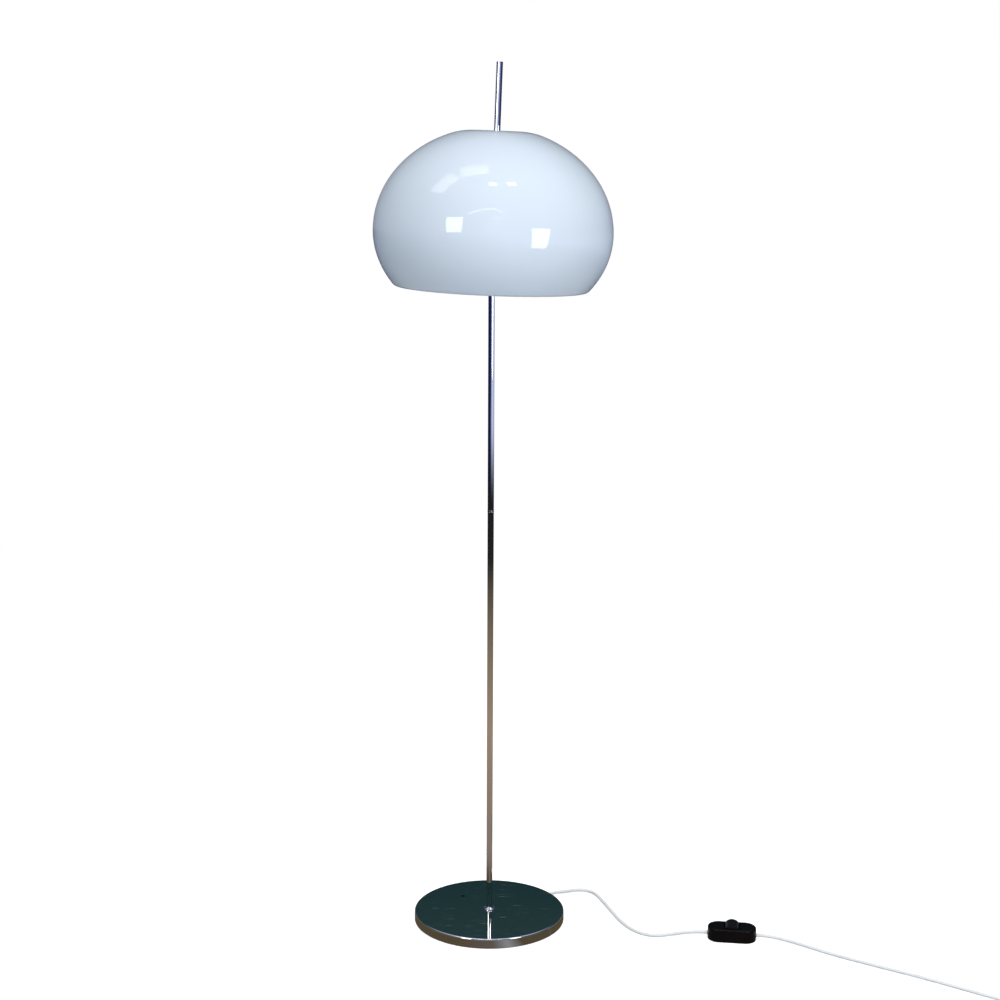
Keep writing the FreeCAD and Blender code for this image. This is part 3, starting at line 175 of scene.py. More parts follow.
# %% Shader expressions
class Signal:
    """An output socket; operators on it add Math nodes to its tree."""

    def __init__(self, tree, socket):
        self.tree = tree
        self.socket = socket

    def math(self, operation, *values):
        return self.tree.add("ShaderNodeMath", {"operation": operation}, dict(enumerate(values)))

    def __add__(self, other):
        return self.math("ADD", self, other)

    def __sub__(self, other):
        return self.math("SUBTRACT", self, other)

    def __rsub__(self, other):
        return self.math("SUBTRACT", other, self)

    def __mul__(self, other):
        return self.math("MULTIPLY", self, other)

    def __truediv__(self, other):
        return self.math("DIVIDE", self, other)

    __radd__ = __add__
    __rmul__ = __mul__


class Nodes:
    """A node tree, and one method that adds any node to it."""

    def __init__(self, tree):
        self.tree = tree

    def feed(self, socket, value):
        if isinstance(value, Signal):
            self.tree.links.new(value.socket, socket)
        else:
            socket.default_value = value

    def add(self, kind, settings={}, inputs={}, output=0):
        node = self.tree.nodes.new(kind)
        for name, value in settings.items():
            if name == "stops":
                while len(node.color_ramp.elements) < len(value):
                    node.color_ramp.elements.new(0.5)
                for element, (place, colour) in zip(node.color_ramp.elements, value):
                    element.position = place
                    element.color = (*colour, 1)
            else:
                setattr(node, name, value)
        for name, value in inputs.items():
            self.feed(node.inputs[name], value)
        return Signal(self, node.outputs[output])

    def split(self, vector):
        node = self.tree.nodes.new("ShaderNodeSeparateXYZ")
        self.feed(node.inputs[0], vector)
        return [Signal(self, socket) for socket in node.outputs]

    def smooth(self, value, low, high):
        """0 below the low value, 1 above the high one, smooth between them."""
        settings = {"interpolation_type": "SMOOTHSTEP"}
        inputs = {"Value": value, "From Min": low, "From Max": high}
        return self.add("ShaderNodeMapRange", settings, inputs)

    def blend(self, share, first, second):
        settings = {"data_type": "RGBA"}
        inputs = {"Factor": share, 6: first, 7: second}
        return self.add("ShaderNodeMix", settings, inputs, output=2)

    def ramp(self, share, stops):
        return self.add("ShaderNodeValToRGB", {"stops": stops}, {0: share})


print("shader expressions ready")


# %% Finishes
class Finish(Nodes):
    """A material with a Principled shader; each word sets one of its sockets."""

    def __init__(self, name, colour, roughness, **sockets):
        self.material = bpy.data.materials.new(name)
        self.material.use_nodes = True
        super().__init__(self.material.node_tree)
        self.shader = self.tree.nodes["Principled BSDF"]
        self.set(Base_Color=(*colour, 1), Roughness=roughness, **sockets)

    def set(self, **sockets):
        for name, value in sockets.items():
            self.feed(self.shader.inputs[name.replace("_", " ")], value)

    def place(self):
        return self.add("ShaderNodeTexCoord", output="Object")

    def noise(self, vector, scale, detail=3.0, roughness=0.5):
        inputs = {"Vector": vector, "Scale": scale, "Detail": detail, "Roughness": roughness}
        return self.add("ShaderNodeTexNoise", {}, inputs)

    def stretched(self, vector, scale, turned=0.0):
        inputs = {"Vector": vector, "Rotation": (0, 0, math.radians(turned)), "Scale": scale}
        return self.add("ShaderNodeMapping", {}, inputs)

    def bump(self, height, strength, distance):
        inputs = {"Height": height, "Strength": strength, "Distance": distance}
        self.set(Normal=self.add("ShaderNodeBump", {}, inputs))


def rgb(red, green, blue):
    return (red, green, blue, 1)


WHITE = rgb(1, 1, 1)
print("finish helper ready")


# %% [markdown]
# ## Chrome
# Chrome plate is nearly a mirror. What makes it read as used metal is its roughness: hairline scratches
# that run in many directions on the foot, and along the tube on the pole, with a faint haze of wiping marks
# between them. One small spot on the foot is worn dark.

# %% Chrome finishes
PLATE = (0.78, 0.79, 0.80)
SCRATCH_DIRECTIONS = (12, 47, 83, 128, 161)
WORN_PLACE = (-0.0539, 0.0620, 0.020)
WORN_FROM, WORN_TO = 0.0045, 0.0085


def hairlines(finish, directions, along, across, threshold):
    """Mask of fine scratches in some directions, from noise that is drawn out along each."""
    place = finish.place()
    mask = 0
    for direction in directions:
        line = finish.stretched(place, (along, across, along), direction)
        streak = finish.smooth(finish.noise(line, 1.0, 2.0), threshold, threshold + 0.06)
        mask = streak + mask
    return mask


def chrome(name, colour, roughness, scratch):
    finish = Finish(name, colour, roughness)
    haze = finish.noise(finish.place(), 9.0, 4.0)
    marks = scratch(finish)
    finish.set(Roughness=haze * 0.05 + marks * 0.22 + (roughness - 0.025), Metallic=1 - marks * 0.3)
    return finish


def foot_scratches(finish):
    return hairlines(finish, SCRATCH_DIRECTIONS, along=14, across=700, threshold=0.72)


def tube_scratches(finish):
    place = finish.stretched(finish.place(), (420, 420, 4))
    return finish.smooth(finish.noise(place, 1.0, 2.0), 0.70, 0.80) * 0.45


foot_chrome = chrome("foot_chrome", PLATE, 0.05, foot_scratches)
worn = foot_chrome.add("ShaderNodeVectorMath", {"operation": "DISTANCE"},
                       {0: foot_chrome.place(), 1: WORN_PLACE}, output=1)
worn = worn + foot_chrome.noise(foot_chrome.place(), 260.0, 2.0) * 0.006
worn = foot_chrome.smooth(worn, WORN_FROM, WORN_TO)
foot_chrome.set(Base_Color=foot_chrome.blend(worn, rgb(0.05, 0.05, 0.05), rgb(*PLATE)))
pole_chrome = chrome("pole_chrome", (0.78, 0.78, 0.80), 0.05, tube_scratches)
rod_chrome = chrome("rod_chrome", (0.82, 0.83, 0.86), 0.05, tube_scratches)
ball_chrome = chrome("ball_chrome", (0.78, 0.78, 0.80), 0.07, foot_scratches)
print("chrome finishes made")

# %% [markdown]
# ## Opal acrylic
# The shade is blown from an opal sheet: white through its whole thickness with a cool cast, and polished
# outside. Its gloss comes from a low roughness. A very weak, wide bump lets the reflections of the windows
# waver a little, as a blown surface does, and faint upright streaks of wiping change its gloss.

# %% Shade finish
shade_finish = Finish("opal_acrylic", (0.66, 0.75, 0.84), 0.10, IOR=1.49)
shade_place = shade_finish.place()
waver = shade_finish.noise(shade_place, 7.0, 1.0)
streaks = shade_finish.noise(shade_finish.stretched(shade_place, (60, 60, 6)), 1.0, 3.0)
cloud = shade_finish.noise(shade_place, 4.0, 2.0)
shade_finish.set(Base_Color=shade_finish.blend(cloud, rgb(0.64, 0.715, 0.815), rgb(0.69, 0.76, 0.855)),
                 Roughness=shade_finish.smooth(streaks, 0.5, 0.8) * 0.04 + 0.025)
shade_finish.bump(waver, 0.12, 0.004)
print("shade finish made")

# %% [markdown]
# ## Plastics, rubber and small metal parts
# Moulded plastic has a faint grain that scatters its gloss, and its colour is never quite even. Each moulded
# finish below mixes two close tones over a slow noise and adds a fine bump; each metal one gets fine lines in
# its roughness and a faint bump to match.

# %% Other finishes
def moulded(name, dark, light, roughness, grain=1400.0, depth=0.15, **sockets):
    finish = Finish(name, dark, roughness, **sockets)
    place = finish.place()
    tone = finish.noise(place, 30.0, 3.0)
    finish.set(Base_Color=finish.blend(tone, (*dark, 1), (*light, 1)),
               Roughness=finish.noise(place, 180.0, 2.0) * 0.12 + (roughness - 0.06))
    finish.bump(finish.noise(place, grain, 2.0), depth, 0.0003)
    return finish


def metal(name, colour, roughness, stretch=(40, 40, 1500)):
    finish = Finish(name, colour, roughness, Metallic=1.0)
    lines = finish.noise(finish.stretched(finish.place(), stretch), 1.0, 2.0)
    finish.set(Roughness=lines * 0.25 + (roughness - 0.12))
    finish.bump(lines, 0.2, 0.0001)
    return finish


cast_iron = moulded("cast_iron", (0.10, 0.10, 0.105), (0.17, 0.165, 0.16), 0.75, 500.0, 0.6, Metallic=0.6)
felt = moulded("felt", (0.03, 0.035, 0.032), (0.07, 0.075, 0.07), 0.95, 2600.0, 1.0)
steel = metal("steel", (0.60, 0.60, 0.62), 0.30)
plated_steel = metal("plated_steel", (0.66, 0.66, 0.68), 0.26)
brass = metal("brass", (0.66, 0.50, 0.26), 0.24)
pin_metal = metal("pin_metal", (0.70, 0.69, 0.66), 0.25)
cap_metal = metal("cap_metal", (0.72, 0.72, 0.72), 0.30)
black_rubber = moulded("black_rubber", (0.03, 0.03, 0.03), (0.05, 0.05, 0.05), 0.7)
white_rubber = moulded("white_rubber", (0.74, 0.74, 0.72), (0.80, 0.80, 0.78), 0.55)
white_plastic = moulded("white_plastic", (0.80, 0.80, 0.78), (0.86, 0.86, 0.84), 0.45)
holder_plastic = moulded("holder_plastic", (0.80, 0.79, 0.75), (0.86, 0.85, 0.81), 0.40)
switch_plastic = moulded("switch_plastic", (0.002, 0.0018, 0.002), (0.005, 0.004, 0.0045), 0.22, 1800.0, 0.10,
                         Specular_IOR_Level=0.12)
rocker_plastic = moulded("rocker_plastic", (0.004, 0.004, 0.005), (0.009, 0.008, 0.009), 0.24, 1800.0, 0.10,
                         Specular_IOR_Level=0.20)
tie_plastic = moulded("tie_plastic", (0.03, 0.03, 0.03), (0.05, 0.05, 0.05), 0.5)
cord_sheath = moulded("cord_sheath", (0.82, 0.82, 0.81), (0.88, 0.88, 0.87), 0.38, 900.0, 0.12)
lead_sleeve = moulded("lead_sleeve", (0.72, 0.71, 0.67), (0.78, 0.77, 0.73), 0.5)
opal_glass = moulded("opal_glass", (0.88, 0.88, 0.86), (0.93, 0.93, 0.91), 0.18, 300.0, 0.03)
print("other finishes made")

# %% Finish of each slot
FINISHES = {
    "chrome": foot_chrome, "chrome_rod": rod_chrome, "chrome_ball": ball_chrome, "brass": brass,
    "cast_iron": cast_iron, "felt": felt, "steel": steel, "plated_steel": plated_steel,
    "rubber": black_rubber, "white_rubber": white_rubber, "white_cord": cord_sheath,
    "lead_sleeve": lead_sleeve, "white_plastic": white_plastic, "holder_plastic": holder_plastic,
    "bulb_cap": cap_metal, "opal_glass": opal_glass, "opal_acrylic": shade_finish,
    "switch_black": switch_plastic, "rocker_black": rocker_plastic, "switch_bush": black_rubber,
    "tie_black": tie_plastic, "plug_white": white_plastic, "plug_pin": pin_metal}
SLOTS = {entry["node"]: entry["material_slot"] for entry in frame["record"]["subparts"]}
for name, node in frame["nodes"].items():
    finish = pole_chrome if name.endswith("_tube") else FINISHES[SLOTS[name]]
    node.data.materials.clear()
    node.data.materials.append(finish.material)
for curve in (foot_lead, mains_lead):
    curve.data.materials.append(cord_sheath.material)
print("finishes given to", len(SLOTS), "nodes")

# %% [markdown]
# ## Turned pieces
# The tubes, the foot, the shade and the bulbs are all turned or blown about an axis, so each is one outline
# swept round. The frame's own parts are cut into flat facets, which a mirror finish would show, so those
# that are seen are made again here. The lathe is a small Geometry Nodes tree: it lays a grid, reads one
# point of the outline for each row, and turns each column by its share of a full turn.

# %% Lathe
def socket_in(tree, name, kind):
    return tree.interface.new_socket(name, in_out="INPUT", socket_type=kind)


def new_tree(name, numbers):
    """Geometry tree whose inputs are an outline, a finish and named numbers."""
    tree = bpy.data.node_groups.new(name, "GeometryNodeTree")
    tree.is_modifier = True
    tree.interface.new_socket("Piece", in_out="OUTPUT", socket_type="NodeSocketGeometry")
    socket_in(tree, "Outline", "NodeSocketGeometry")
    socket_in(tree, "Finish", "NodeSocketMaterial")
    for number, kind in numbers.items():
        socket_in(tree, number, "NodeSocket" + kind)
    nodes = Nodes(tree)
    group = tree.nodes.new("NodeGroupInput")
    inputs = {socket.name: Signal(nodes, socket) for socket in group.outputs if socket.name}
    return nodes, inputs


def close_tree(nodes, shape, inputs):
    """Ends a tree: real geometry, with its finish."""
    shape = nodes.add("GeometryNodeRealizeInstances", {}, {"Geometry": shape})
    shape = nodes.add("GeometryNodeSetMaterial", {}, {"Geometry": shape, "Material": inputs["Finish"]})
    output = nodes.tree.nodes.new("NodeGroupOutput")
    nodes.feed(output.inputs[0], shape)
    return nodes.tree


def make_lathe():
    nodes, inputs = new_tree("lathe", {"Segments": "Int"})
    outline = inputs["Outline"]
    rows = nodes.add("GeometryNodeAttributeDomainSize", {}, {"Geometry": outline})
    columns = inputs["Segments"] + 1
    grid = nodes.add("GeometryNodeMeshGrid", {}, {"Vertices X": columns, "Vertices Y": rows})
    index = nodes.add("GeometryNodeInputIndex")
    row = index.math("MODULO", index, rows)
    angle = index.math("FLOOR", index / rows) * (2 * math.pi) / inputs["Segments"]
    settings = {"data_type": "FLOAT_VECTOR", "domain": "POINT"}
    values = {"Geometry": outline, "Value": nodes.add("GeometryNodeInputPosition"), "Index": row}
    radius, _, height = nodes.split(nodes.add("GeometryNodeSampleIndex", settings, values))
    place = {"X": radius * index.math("COSINE", angle), "Y": radius * index.math("SINE", angle), "Z": height}
    place = nodes.add("ShaderNodeCombineXYZ", {}, place)
    shape = nodes.add("GeometryNodeSetPosition", {}, {"Geometry": grid, "Position": place})
    shape = nodes.add("GeometryNodeMergeByDistance", {}, {"Geometry": shape, "Distance": 1e-6})
    return close_tree(nodes, shape, inputs)


LATHE = make_lathe()
print("lathe nodes", len(LATHE.nodes))


# %% Run a tree
SHARP = math.radians(32)


def link(data, name):
    thing = bpy.data.objects.new(name, data)
    bpy.context.scene.collection.objects.link(thing)
    return thing


def run_tree(name, tree, finish, points, **numbers):
    """Plain mesh that a tree makes from an outline's points, smooth except at real edges."""
    outline = bpy.data.meshes.new(name + "_outline")
    outline.from_pydata(points, [(i, i + 1) for i in range(len(points) - 1)], [])
    maker = link(outline, name + "_maker")
    modifier = maker.modifiers.new("tree", "NODES")
    modifier.node_group = tree
    identifiers = {item.name: item.identifier for item in tree.interface.items_tree}
    modifier[identifiers["Finish"]] = finish.material
    for number, value in numbers.items():
        modifier[identifiers[number]] = value
    graph = bpy.context.evaluated_depsgraph_get()
    mesh = bpy.data.meshes.new_from_object(maker.evaluated_get(graph))
    bpy.data.objects.remove(maker)
    mesh.name = name
    mesh.shade_smooth()
    mesh.set_sharp_from_angle(angle=SHARP)
    return mesh


def settle(name, mesh, placements, body, replaced):
    """One piece of the lamp: copies of a mesh at their placements, riding on a body."""
    shape = bmesh.new()
    for placement in placements:
        before = len(shape.verts)
        shape.from_mesh(mesh)
        shape.verts.ensure_lookup_table()
        bmesh.ops.transform(shape, matrix=placement, verts=shape.verts[before:])
    bmesh.ops.recalc_face_normals(shape, faces=shape.faces)
    joined = mesh.copy()
    shape.to_mesh(joined)
    shape.free()
    piece = link(joined, name)
    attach(piece, body)
    if replaced:
        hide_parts(*replaced)
    return piece


# %% Outlines
ROUND_STEPS = 8


def soften(corners):
    """Outline in metres through corners (radius, height, reach) in mm; a reach rounds its corner."""
    points = [Vector((corner[0], corner[1])) for corner in corners]
    reach = [corner[2] if len(corner) > 2 else 0 for corner in corners]
    along = [0]
    for before, after in zip(points, points[1:]):
        along.append(along[-1] + (after - before).length)

    def at(distance):
        step = max(i for i in range(len(points) - 1) if along[i] <= distance or i == 0)
        share = (distance - along[step]) / (along[step + 1] - along[step])
        return points[step].lerp(points[step + 1], share)

    outline = []
    for i, point in enumerate(points):
        covered = any(r and j != i and abs(along[i] - along[j]) < r for j, r in enumerate(reach))
        if reach[i]:
            start, end = at(along[i] - reach[i]), at(along[i] + reach[i])
            for step in range(ROUND_STEPS + 1):
                share = step / ROUND_STEPS
                outline.append(start.lerp(point, share).lerp(point.lerp(end, share), share))
        elif not covered:
            outline.append(point)
    return [(point.x * MM, 0, point.y * MM) for point in outline]


def turned(name, corners, finish, body, slot, replaced, placements=(Matrix(),), segments=64):
    mesh = run_tree(name, LATHE, finish, soften(corners), Segments=segments)
    piece = settle(name, mesh, placements, body, replaced)
    print(name, len(piece.data.polygons), "faces")
    return piece


# %% [markdown]
# ## Shade
# The shade's outline is parts of two ellipses that meet at its widest ring, a flat top that runs into the
# dome in a soft shoulder, and a rolled rim with a narrow lip. The same outline, drawn in by the wall, makes
# its inside.

# %% Shade
SHADE_RADIUS = 225
SHADE_WALL = 3
SHADE_TOP = 263.5
SHADE_WIDEST = 77.5
DOME_RISE = 193.5
BOWL_DROP = 180
RIM_DROP = 106
HOLE_RADIUS = 7.2
RIM_LIP = 12
SHOULDER_REACH, RIM_REACH = 18, 6
ARC_STEPS = 40


def shade_skin(inset):
    """Outline from the edge of the flat top to the rim, drawn in by an inset."""
    width, rise, drop = SHADE_RADIUS - inset, DOME_RISE - inset, BOWL_DROP - inset
    top, rim = SHADE_TOP - inset, SHADE_WIDEST - RIM_DROP + inset
    high = math.asin((top - SHADE_WIDEST) / rise)
    low = math.asin((rim - SHADE_WIDEST) / drop)
    dome = [high * (1 - step / ARC_STEPS) for step in range(ARC_STEPS)]
    bowl = [low * step / ARC_STEPS for step in range(ARC_STEPS + 1)]
    skin = [(width * math.cos(a), SHADE_WIDEST + rise * math.sin(a)) for a in dome]
    skin += [(width * math.cos(a), SHADE_WIDEST + drop * math.sin(a)) for a in bowl]
    skin[0] = (*skin[0], SHOULDER_REACH)
    skin[-1] = (*skin[-1], RIM_REACH - inset)
    return skin


outside, inside = shade_skin(0), shade_skin(SHADE_WALL)
mouth, rim = outside[-1][0] - RIM_LIP, outside[-1][1]
hole = [(HOLE_RADIUS, SHADE_TOP - SHADE_WALL), (HOLE_RADIUS, SHADE_TOP, 0.6)]
lip = [(mouth, rim, 1.2), (mouth, rim + SHADE_WALL, 1.2)]
shade_outline = hole + outside + lip + inside[::-1] + hole[:1]
turned("blown_shade", shade_outline, shade_finish, "shade", "opal_acrylic", ["shade"], [LEAN], segments=160)

# %% [markdown]
# ## Foot, pole and guide rod
# The foot's cover is spun from sheet, so its top edge is round. The pole is two tubes with a thin ring
# between them, and the guide rod stands in the ball's upper port and leans a little in its thread.

# %% Foot and pole
BASE_R, BASE_H, COVER_WALL, COVER_EDGE = 149, 20, 1.2, 0.8
TUBE_R, BORE_R, END_ROUND = 6, 5.05, 0.25
JOINT_R, JOINT_LOW, JOINT_HIGH, POLE_TOP = 6.35, 830, 832.4, 1263
COLLAR_R, COLLAR_BORE, COLLAR_TOP = 11.4, 6.05, 24.6
inner, under = BASE_R - COVER_WALL, BASE_H - COVER_WALL
cover = [(BORE_R, under), (BORE_R, BASE_H), (BASE_R, BASE_H, 3.4), (BASE_R, COVER_EDGE, 0.4),
         (inner, COVER_EDGE), (inner, under, 2.2), (BORE_R, under)]
collar = [(COLLAR_BORE, BASE_H), (COLLAR_R, BASE_H), (COLLAR_R, BASE_H + 1.3, 0.4), (9.0, BASE_H + 2, 1.2),
          (7.2, COLLAR_TOP, 0.5), (COLLAR_BORE, COLLAR_TOP), (COLLAR_BORE, BASE_H)]


def tube(low, high):
    """Outline of a tube; a point near each end keeps the wall's shading straight."""
    wall = [(TUBE_R, low, END_ROUND), (TUBE_R, low + 1), (TUBE_R, high - 1), (TUBE_R, high, END_ROUND)]
    return [(BORE_R, low)] + wall + [(BORE_R, high), (BORE_R, low)]


turned("spun_cover", cover, foot_chrome, "stand", "chrome", ["base_cover"], segments=192)
turned("turned_collar", collar, foot_chrome, "stand", "chrome", ["foot_collar"])
turned("polished_lower_tube", tube(BASE_H, JOINT_LOW), pole_chrome, "stand", "chrome", ["lower_tube"])
turned("polished_upper_tube", tube(JOINT_HIGH, POLE_TOP), pole_chrome, "stand", "chrome", ["upper_tube"])
ring = [(BORE_R, JOINT_LOW), (JOINT_R, JOINT_LOW, 0.3), (JOINT_R, JOINT_HIGH, 0.3), (BORE_R, JOINT_HIGH),
        (BORE_R, JOINT_LOW)]
turned("turned_joint_ring", ring, pole_chrome, "stand", "chrome", ["joint_ring"])

# %% Guide rod
ROD_FOOT, ROD_TOP = 27, 386
turned("polished_rod", tube(ROD_FOOT, ROD_TOP), rod_chrome, "stand", "chrome_rod", ["guide_rod"], [LEAN])
CAP_SHANK_R, CAP_DEPTH, CAP_RISE = 4.45, 8, 2.5
cap = [(0, ROD_TOP - CAP_DEPTH), (CAP_SHANK_R, ROD_TOP - CAP_DEPTH), (CAP_SHANK_R, ROD_TOP),
       (TUBE_R, ROD_TOP), (TUBE_R, ROD_TOP + CAP_RISE, 1.5), (3, ROD_TOP + CAP_RISE, 0.4), (0, ROD_TOP + 1.7)]
turned("turned_rod_cap", cap, rod_chrome, "stand", "chrome_rod", ["rod_end_cap"], [LEAN])

# %% [markdown]
# ## Lamp holders and bulbs
# Three moulded holders stand on the ball's arms, a third of a turn apart, each with an opal bulb. They are
# hidden from the front, but whoever looks up into the shade sees them.

# %% Holders and bulbs
ARM_TILT = math.radians(55)
ARM_BEARINGS = [math.radians(degrees) for degrees in (90, 210, 330)]
ARMS = [Matrix.Translation((0, 0, BALL_HEIGHT)) @ Matrix.Rotation(heading, 4, "Z")
        @ Matrix.Rotation(ARM_TILT, 4, "Y") for heading in ARM_BEARINGS]
FOOT, MOUTH = 27, 82
HOLDER_R, GROOVE_R, LIP_R, MOUTH_R = 19.5, 18.5, 20.2, 13.4
FLOOR_OF_HOLDER, SOCKET_DEPTH = FOOT + 26, FOOT + 10.05
holder = [(BORE_R, FOOT), (11, FOOT, 0.8), (HOLDER_R, FOOT + 11, 3), (HOLDER_R, FOOT + 23, 0.4),
          (GROOVE_R, FOOT + 23), (GROOVE_R, FOOT + 24), (HOLDER_R, FOOT + 24, 0.4), (HOLDER_R, MOUTH - 3.5),
          (LIP_R, MOUTH - 3.5, 0.3), (LIP_R, MOUTH, 0.5), (MOUTH_R, MOUTH, 0.5), (MOUTH_R, FLOOR_OF_HOLDER),
          (1.6, FLOOR_OF_HOLDER), (1.6, SOCKET_DEPTH), (BORE_R, SOCKET_DEPTH), (BORE_R, FOOT)]
BULB_R, BULB_CENTRE, GLASS_SHARE = 30, MOUTH + 50, 0.965
angles = [math.radians(degrees) for degrees in range(-39, 90, 6)]
globe = [(BULB_R * math.cos(angle), BULB_CENTRE + BULB_R * math.sin(angle)) for angle in angles]
hollow = [(r * GLASS_SHARE, BULB_CENTRE + (z - BULB_CENTRE) * GLASS_SHARE) for r, z in globe[::-1]]
bulb = [(14.6, MOUTH), (14.8, MOUTH + 6), (17.2, MOUTH + 17, 5)] + globe
bulb += [(0, BULB_CENTRE + BULB_R), (0, BULB_CENTRE + BULB_R - 1)] + hollow
bulb += [(16.2, MOUTH + 17, 5), (13.7, MOUTH + 6), (13.6, MOUTH), (14.6, MOUTH)]
AROUND_ARM = 48
for number, arm in enumerate(ARMS, 1):
    turned(f"moulded_holder_{number}", holder, holder_plastic, "stand", "holder_plastic",
           [f"lamp_holder_{number}"], [arm], AROUND_ARM)
    turned(f"blown_bulb_{number}", bulb, opal_glass, "stand", "opal_glass", [f"bulb_glass_{number}"], [arm],
           AROUND_ARM)

# %% [markdown]
# ## Threads and ribs
# A bulb's cap is rolled into a screw thread, and a lamp holder's skirt has grip ribs. Both repeat, so a
# tree makes each: one winds a wire into a helix, the other sets bars round a circle.

# %% Thread tree and rib tree
def make_thread():
    numbers = dict.fromkeys(("Radius", "Turns", "Length", "Wire"), "Float")
    nodes, inputs = new_tree("thread", numbers)
    helix = nodes.add("GeometryNodeCurveSpiral", {}, {
        "Resolution": 40, "Rotations": inputs["Turns"], "Start Radius": inputs["Radius"],
        "End Radius": inputs["Radius"], "Height": inputs["Length"]})
    wire = nodes.add("GeometryNodeCurvePrimitiveCircle", {}, {"Resolution": 10, "Radius": inputs["Wire"]})
    sweep = {"Curve": helix, "Profile Curve": wire, "Fill Caps": True}
    shape = nodes.add("GeometryNodeCurveToMesh", {}, sweep)
    return close_tree(nodes, shape, inputs)


def make_ribs():
    nodes, inputs = new_tree("ribs", {"Radius": "Float", "Count": "Int", "Length": "Float", "Width": "Float"})
    places = {"Vertices": inputs["Count"], "Radius": inputs["Radius"]}
    circle = nodes.add("GeometryNodeMeshCircle", {}, places)
    size = {"Vertices": 8, "Radius": inputs["Width"] / 2, "Depth": inputs["Length"]}
    bar = nodes.add("GeometryNodeMeshCylinder", {}, size)
    ribs = nodes.add("GeometryNodeInstanceOnPoints", {}, {"Points": circle, "Instance": bar})
    return close_tree(nodes, ribs, inputs)


THREAD, RIBS = make_thread(), make_ribs()
print("thread nodes", len(THREAD.nodes), "rib nodes", len(RIBS.nodes))

# %% Threads and ribs on the bulbs and holders
NO_OUTLINE = [(0, 0, 0)]
THREAD_LOW, RIBS_MIDDLE = (MOUTH - 21) * MM, (FOOT + 37) * MM
thread = run_tree("rolled_thread", THREAD, cap_metal, NO_OUTLINE, Radius=12.35 * MM, Turns=3.2,
                  Length=11 * MM, Wire=1.0 * MM)
ribs = run_tree("grip_ribs", RIBS, holder_plastic, NO_OUTLINE, Radius=19.35 * MM, Count=36,
                Length=20 * MM, Width=1.3 * MM)
on_cap = [arm @ Matrix.Translation((0, 0, THREAD_LOW)) for arm in ARMS]
on_holder = [arm @ Matrix.Translation((0, 0, RIBS_MIDDLE)) for arm in ARMS]
settle("rolled_threads", thread, on_cap, "stand", [])
settle("grip_ribs", ribs, on_holder, "stand", [])
print("threads on", len(on_cap), "caps, ribs on", len(on_holder), "holders")

# %% [markdown]
# ## Floor and light
# The lamp stands on a white ground, but its chrome mirrors a room: a brown floor that grows dark with
# distance, a pale wall far off at the front right, and a dark ceiling that is bright only overhead. So the
# floor and the world each have several looks, and the kind of ray decides which is met. The camera gets a
# pale floor, which fades into white and keeps the lamp's soft shadow. Mirrored rays get the room. Light
# that bounces off the floor meets a plain grey. From below, the floor is clear.

# %% Floor
FLOOR_RADIUS = 40.0
FLOOR_DROP = 0.0005
FLOOR_GLOW = 0.62
WHITE_FROM, WHITE_TO = 1.6, 4.0
FOOT_EDGE_FROM, FOOT_EDGE_TO = 0.20, 0.34
FAR_FROM, FAR_TO = 4.4, 7.0
BOARDS_REACH = 5

floor_mesh = bpy.data.meshes.new("floor")
shape = bmesh.new()
bmesh.ops.create_circle(shape, cap_ends=True, segments=64, radius=FLOOR_RADIUS)
shape.to_mesh(floor_mesh)
shape.free()
floor = link(floor_mesh, "floor")
floor.location.z = -FLOOR_DROP

floor_finish = Finish("floor", (0.80, 0.80, 0.80), 0.9)
ray = floor_finish.tree.nodes.new("ShaderNodeLightPath")
away = floor_finish.add("ShaderNodeVectorMath", {"operation": "LENGTH"}, {0: floor_finish.place()}, output=1)


def bearing(nodes, vector):
    """Share of a turn about Z, from the back round by the left to the front at 0.5."""
    across, deep, _ = nodes.split(vector)
    return across.math("ARCTAN2", across, deep * -1) / math.tau + 0.5


def glow(nodes, colour, strength=1.0):
    return nodes.add("ShaderNodeEmission", {}, {"Color": colour, "Strength": strength})


def either(nodes, share, first, second):
    return nodes.add("ShaderNodeMixShader", {}, {0: share, 1: first, 2: second})


lit = Signal(floor_finish, floor_finish.shader.outputs[0])
lit = floor_finish.add("ShaderNodeAddShader", {}, {0: lit, 1: glow(floor_finish, WHITE, FLOOR_GLOW)})
seen = either(floor_finish, floor_finish.smooth(away, WHITE_FROM, WHITE_TO), lit, glow(floor_finish, WHITE))
boards = floor_finish.ramp(away / BOARDS_REACH, [
    (0.0, (0.12, 0.10, 0.08)), (0.08, (0.28, 0.22, 0.18)), (0.25, (0.38, 0.28, 0.20)),
    (0.50, (0.16, 0.13, 0.09)), (0.66, (0.02, 0.02, 0.02)), (1.0, (0.01, 0.01, 0.015))])
side = bearing(floor_finish, floor_finish.place())
brown = (0.10, 0.075, 0.045)
edge = floor_finish.ramp(side, [
    (0.0, brown), (0.42, brown), (0.51, (0.13, 0.11, 0.09)), (0.545, (0.28, 0.29, 0.30)), (0.58, brown)])
boards = floor_finish.blend(floor_finish.smooth(away, FOOT_EDGE_FROM, FOOT_EDGE_TO), edge, boards)
night, pale = (0.01, 0.015, 0.06), (0.60, 0.68, 0.96)
far = floor_finish.ramp(side, [(0.0, night), (0.46, night), (0.58, pale), (0.72, pale), (1.0, night)])
dim = floor_finish.blend(floor_finish.smooth(away, FAR_FROM, FAR_TO), boards, far)
grey = floor_finish.add("ShaderNodeBsdfDiffuse", {}, {"Color": rgb(0.50, 0.54, 0.58)})
glossy = Signal(floor_finish, ray.outputs["Is Glossy Ray"])
direct = Signal(floor_finish, ray.outputs["Is Camera Ray"])
behind = Signal(floor_finish, floor_finish.tree.nodes.new("ShaderNodeNewGeometry").outputs["Backfacing"])
shown = either(floor_finish, glossy, either(floor_finish, direct, grey, seen), glow(floor_finish, dim))
shown = either(floor_finish, behind, shown, floor_finish.add("ShaderNodeBsdfTransparent"))
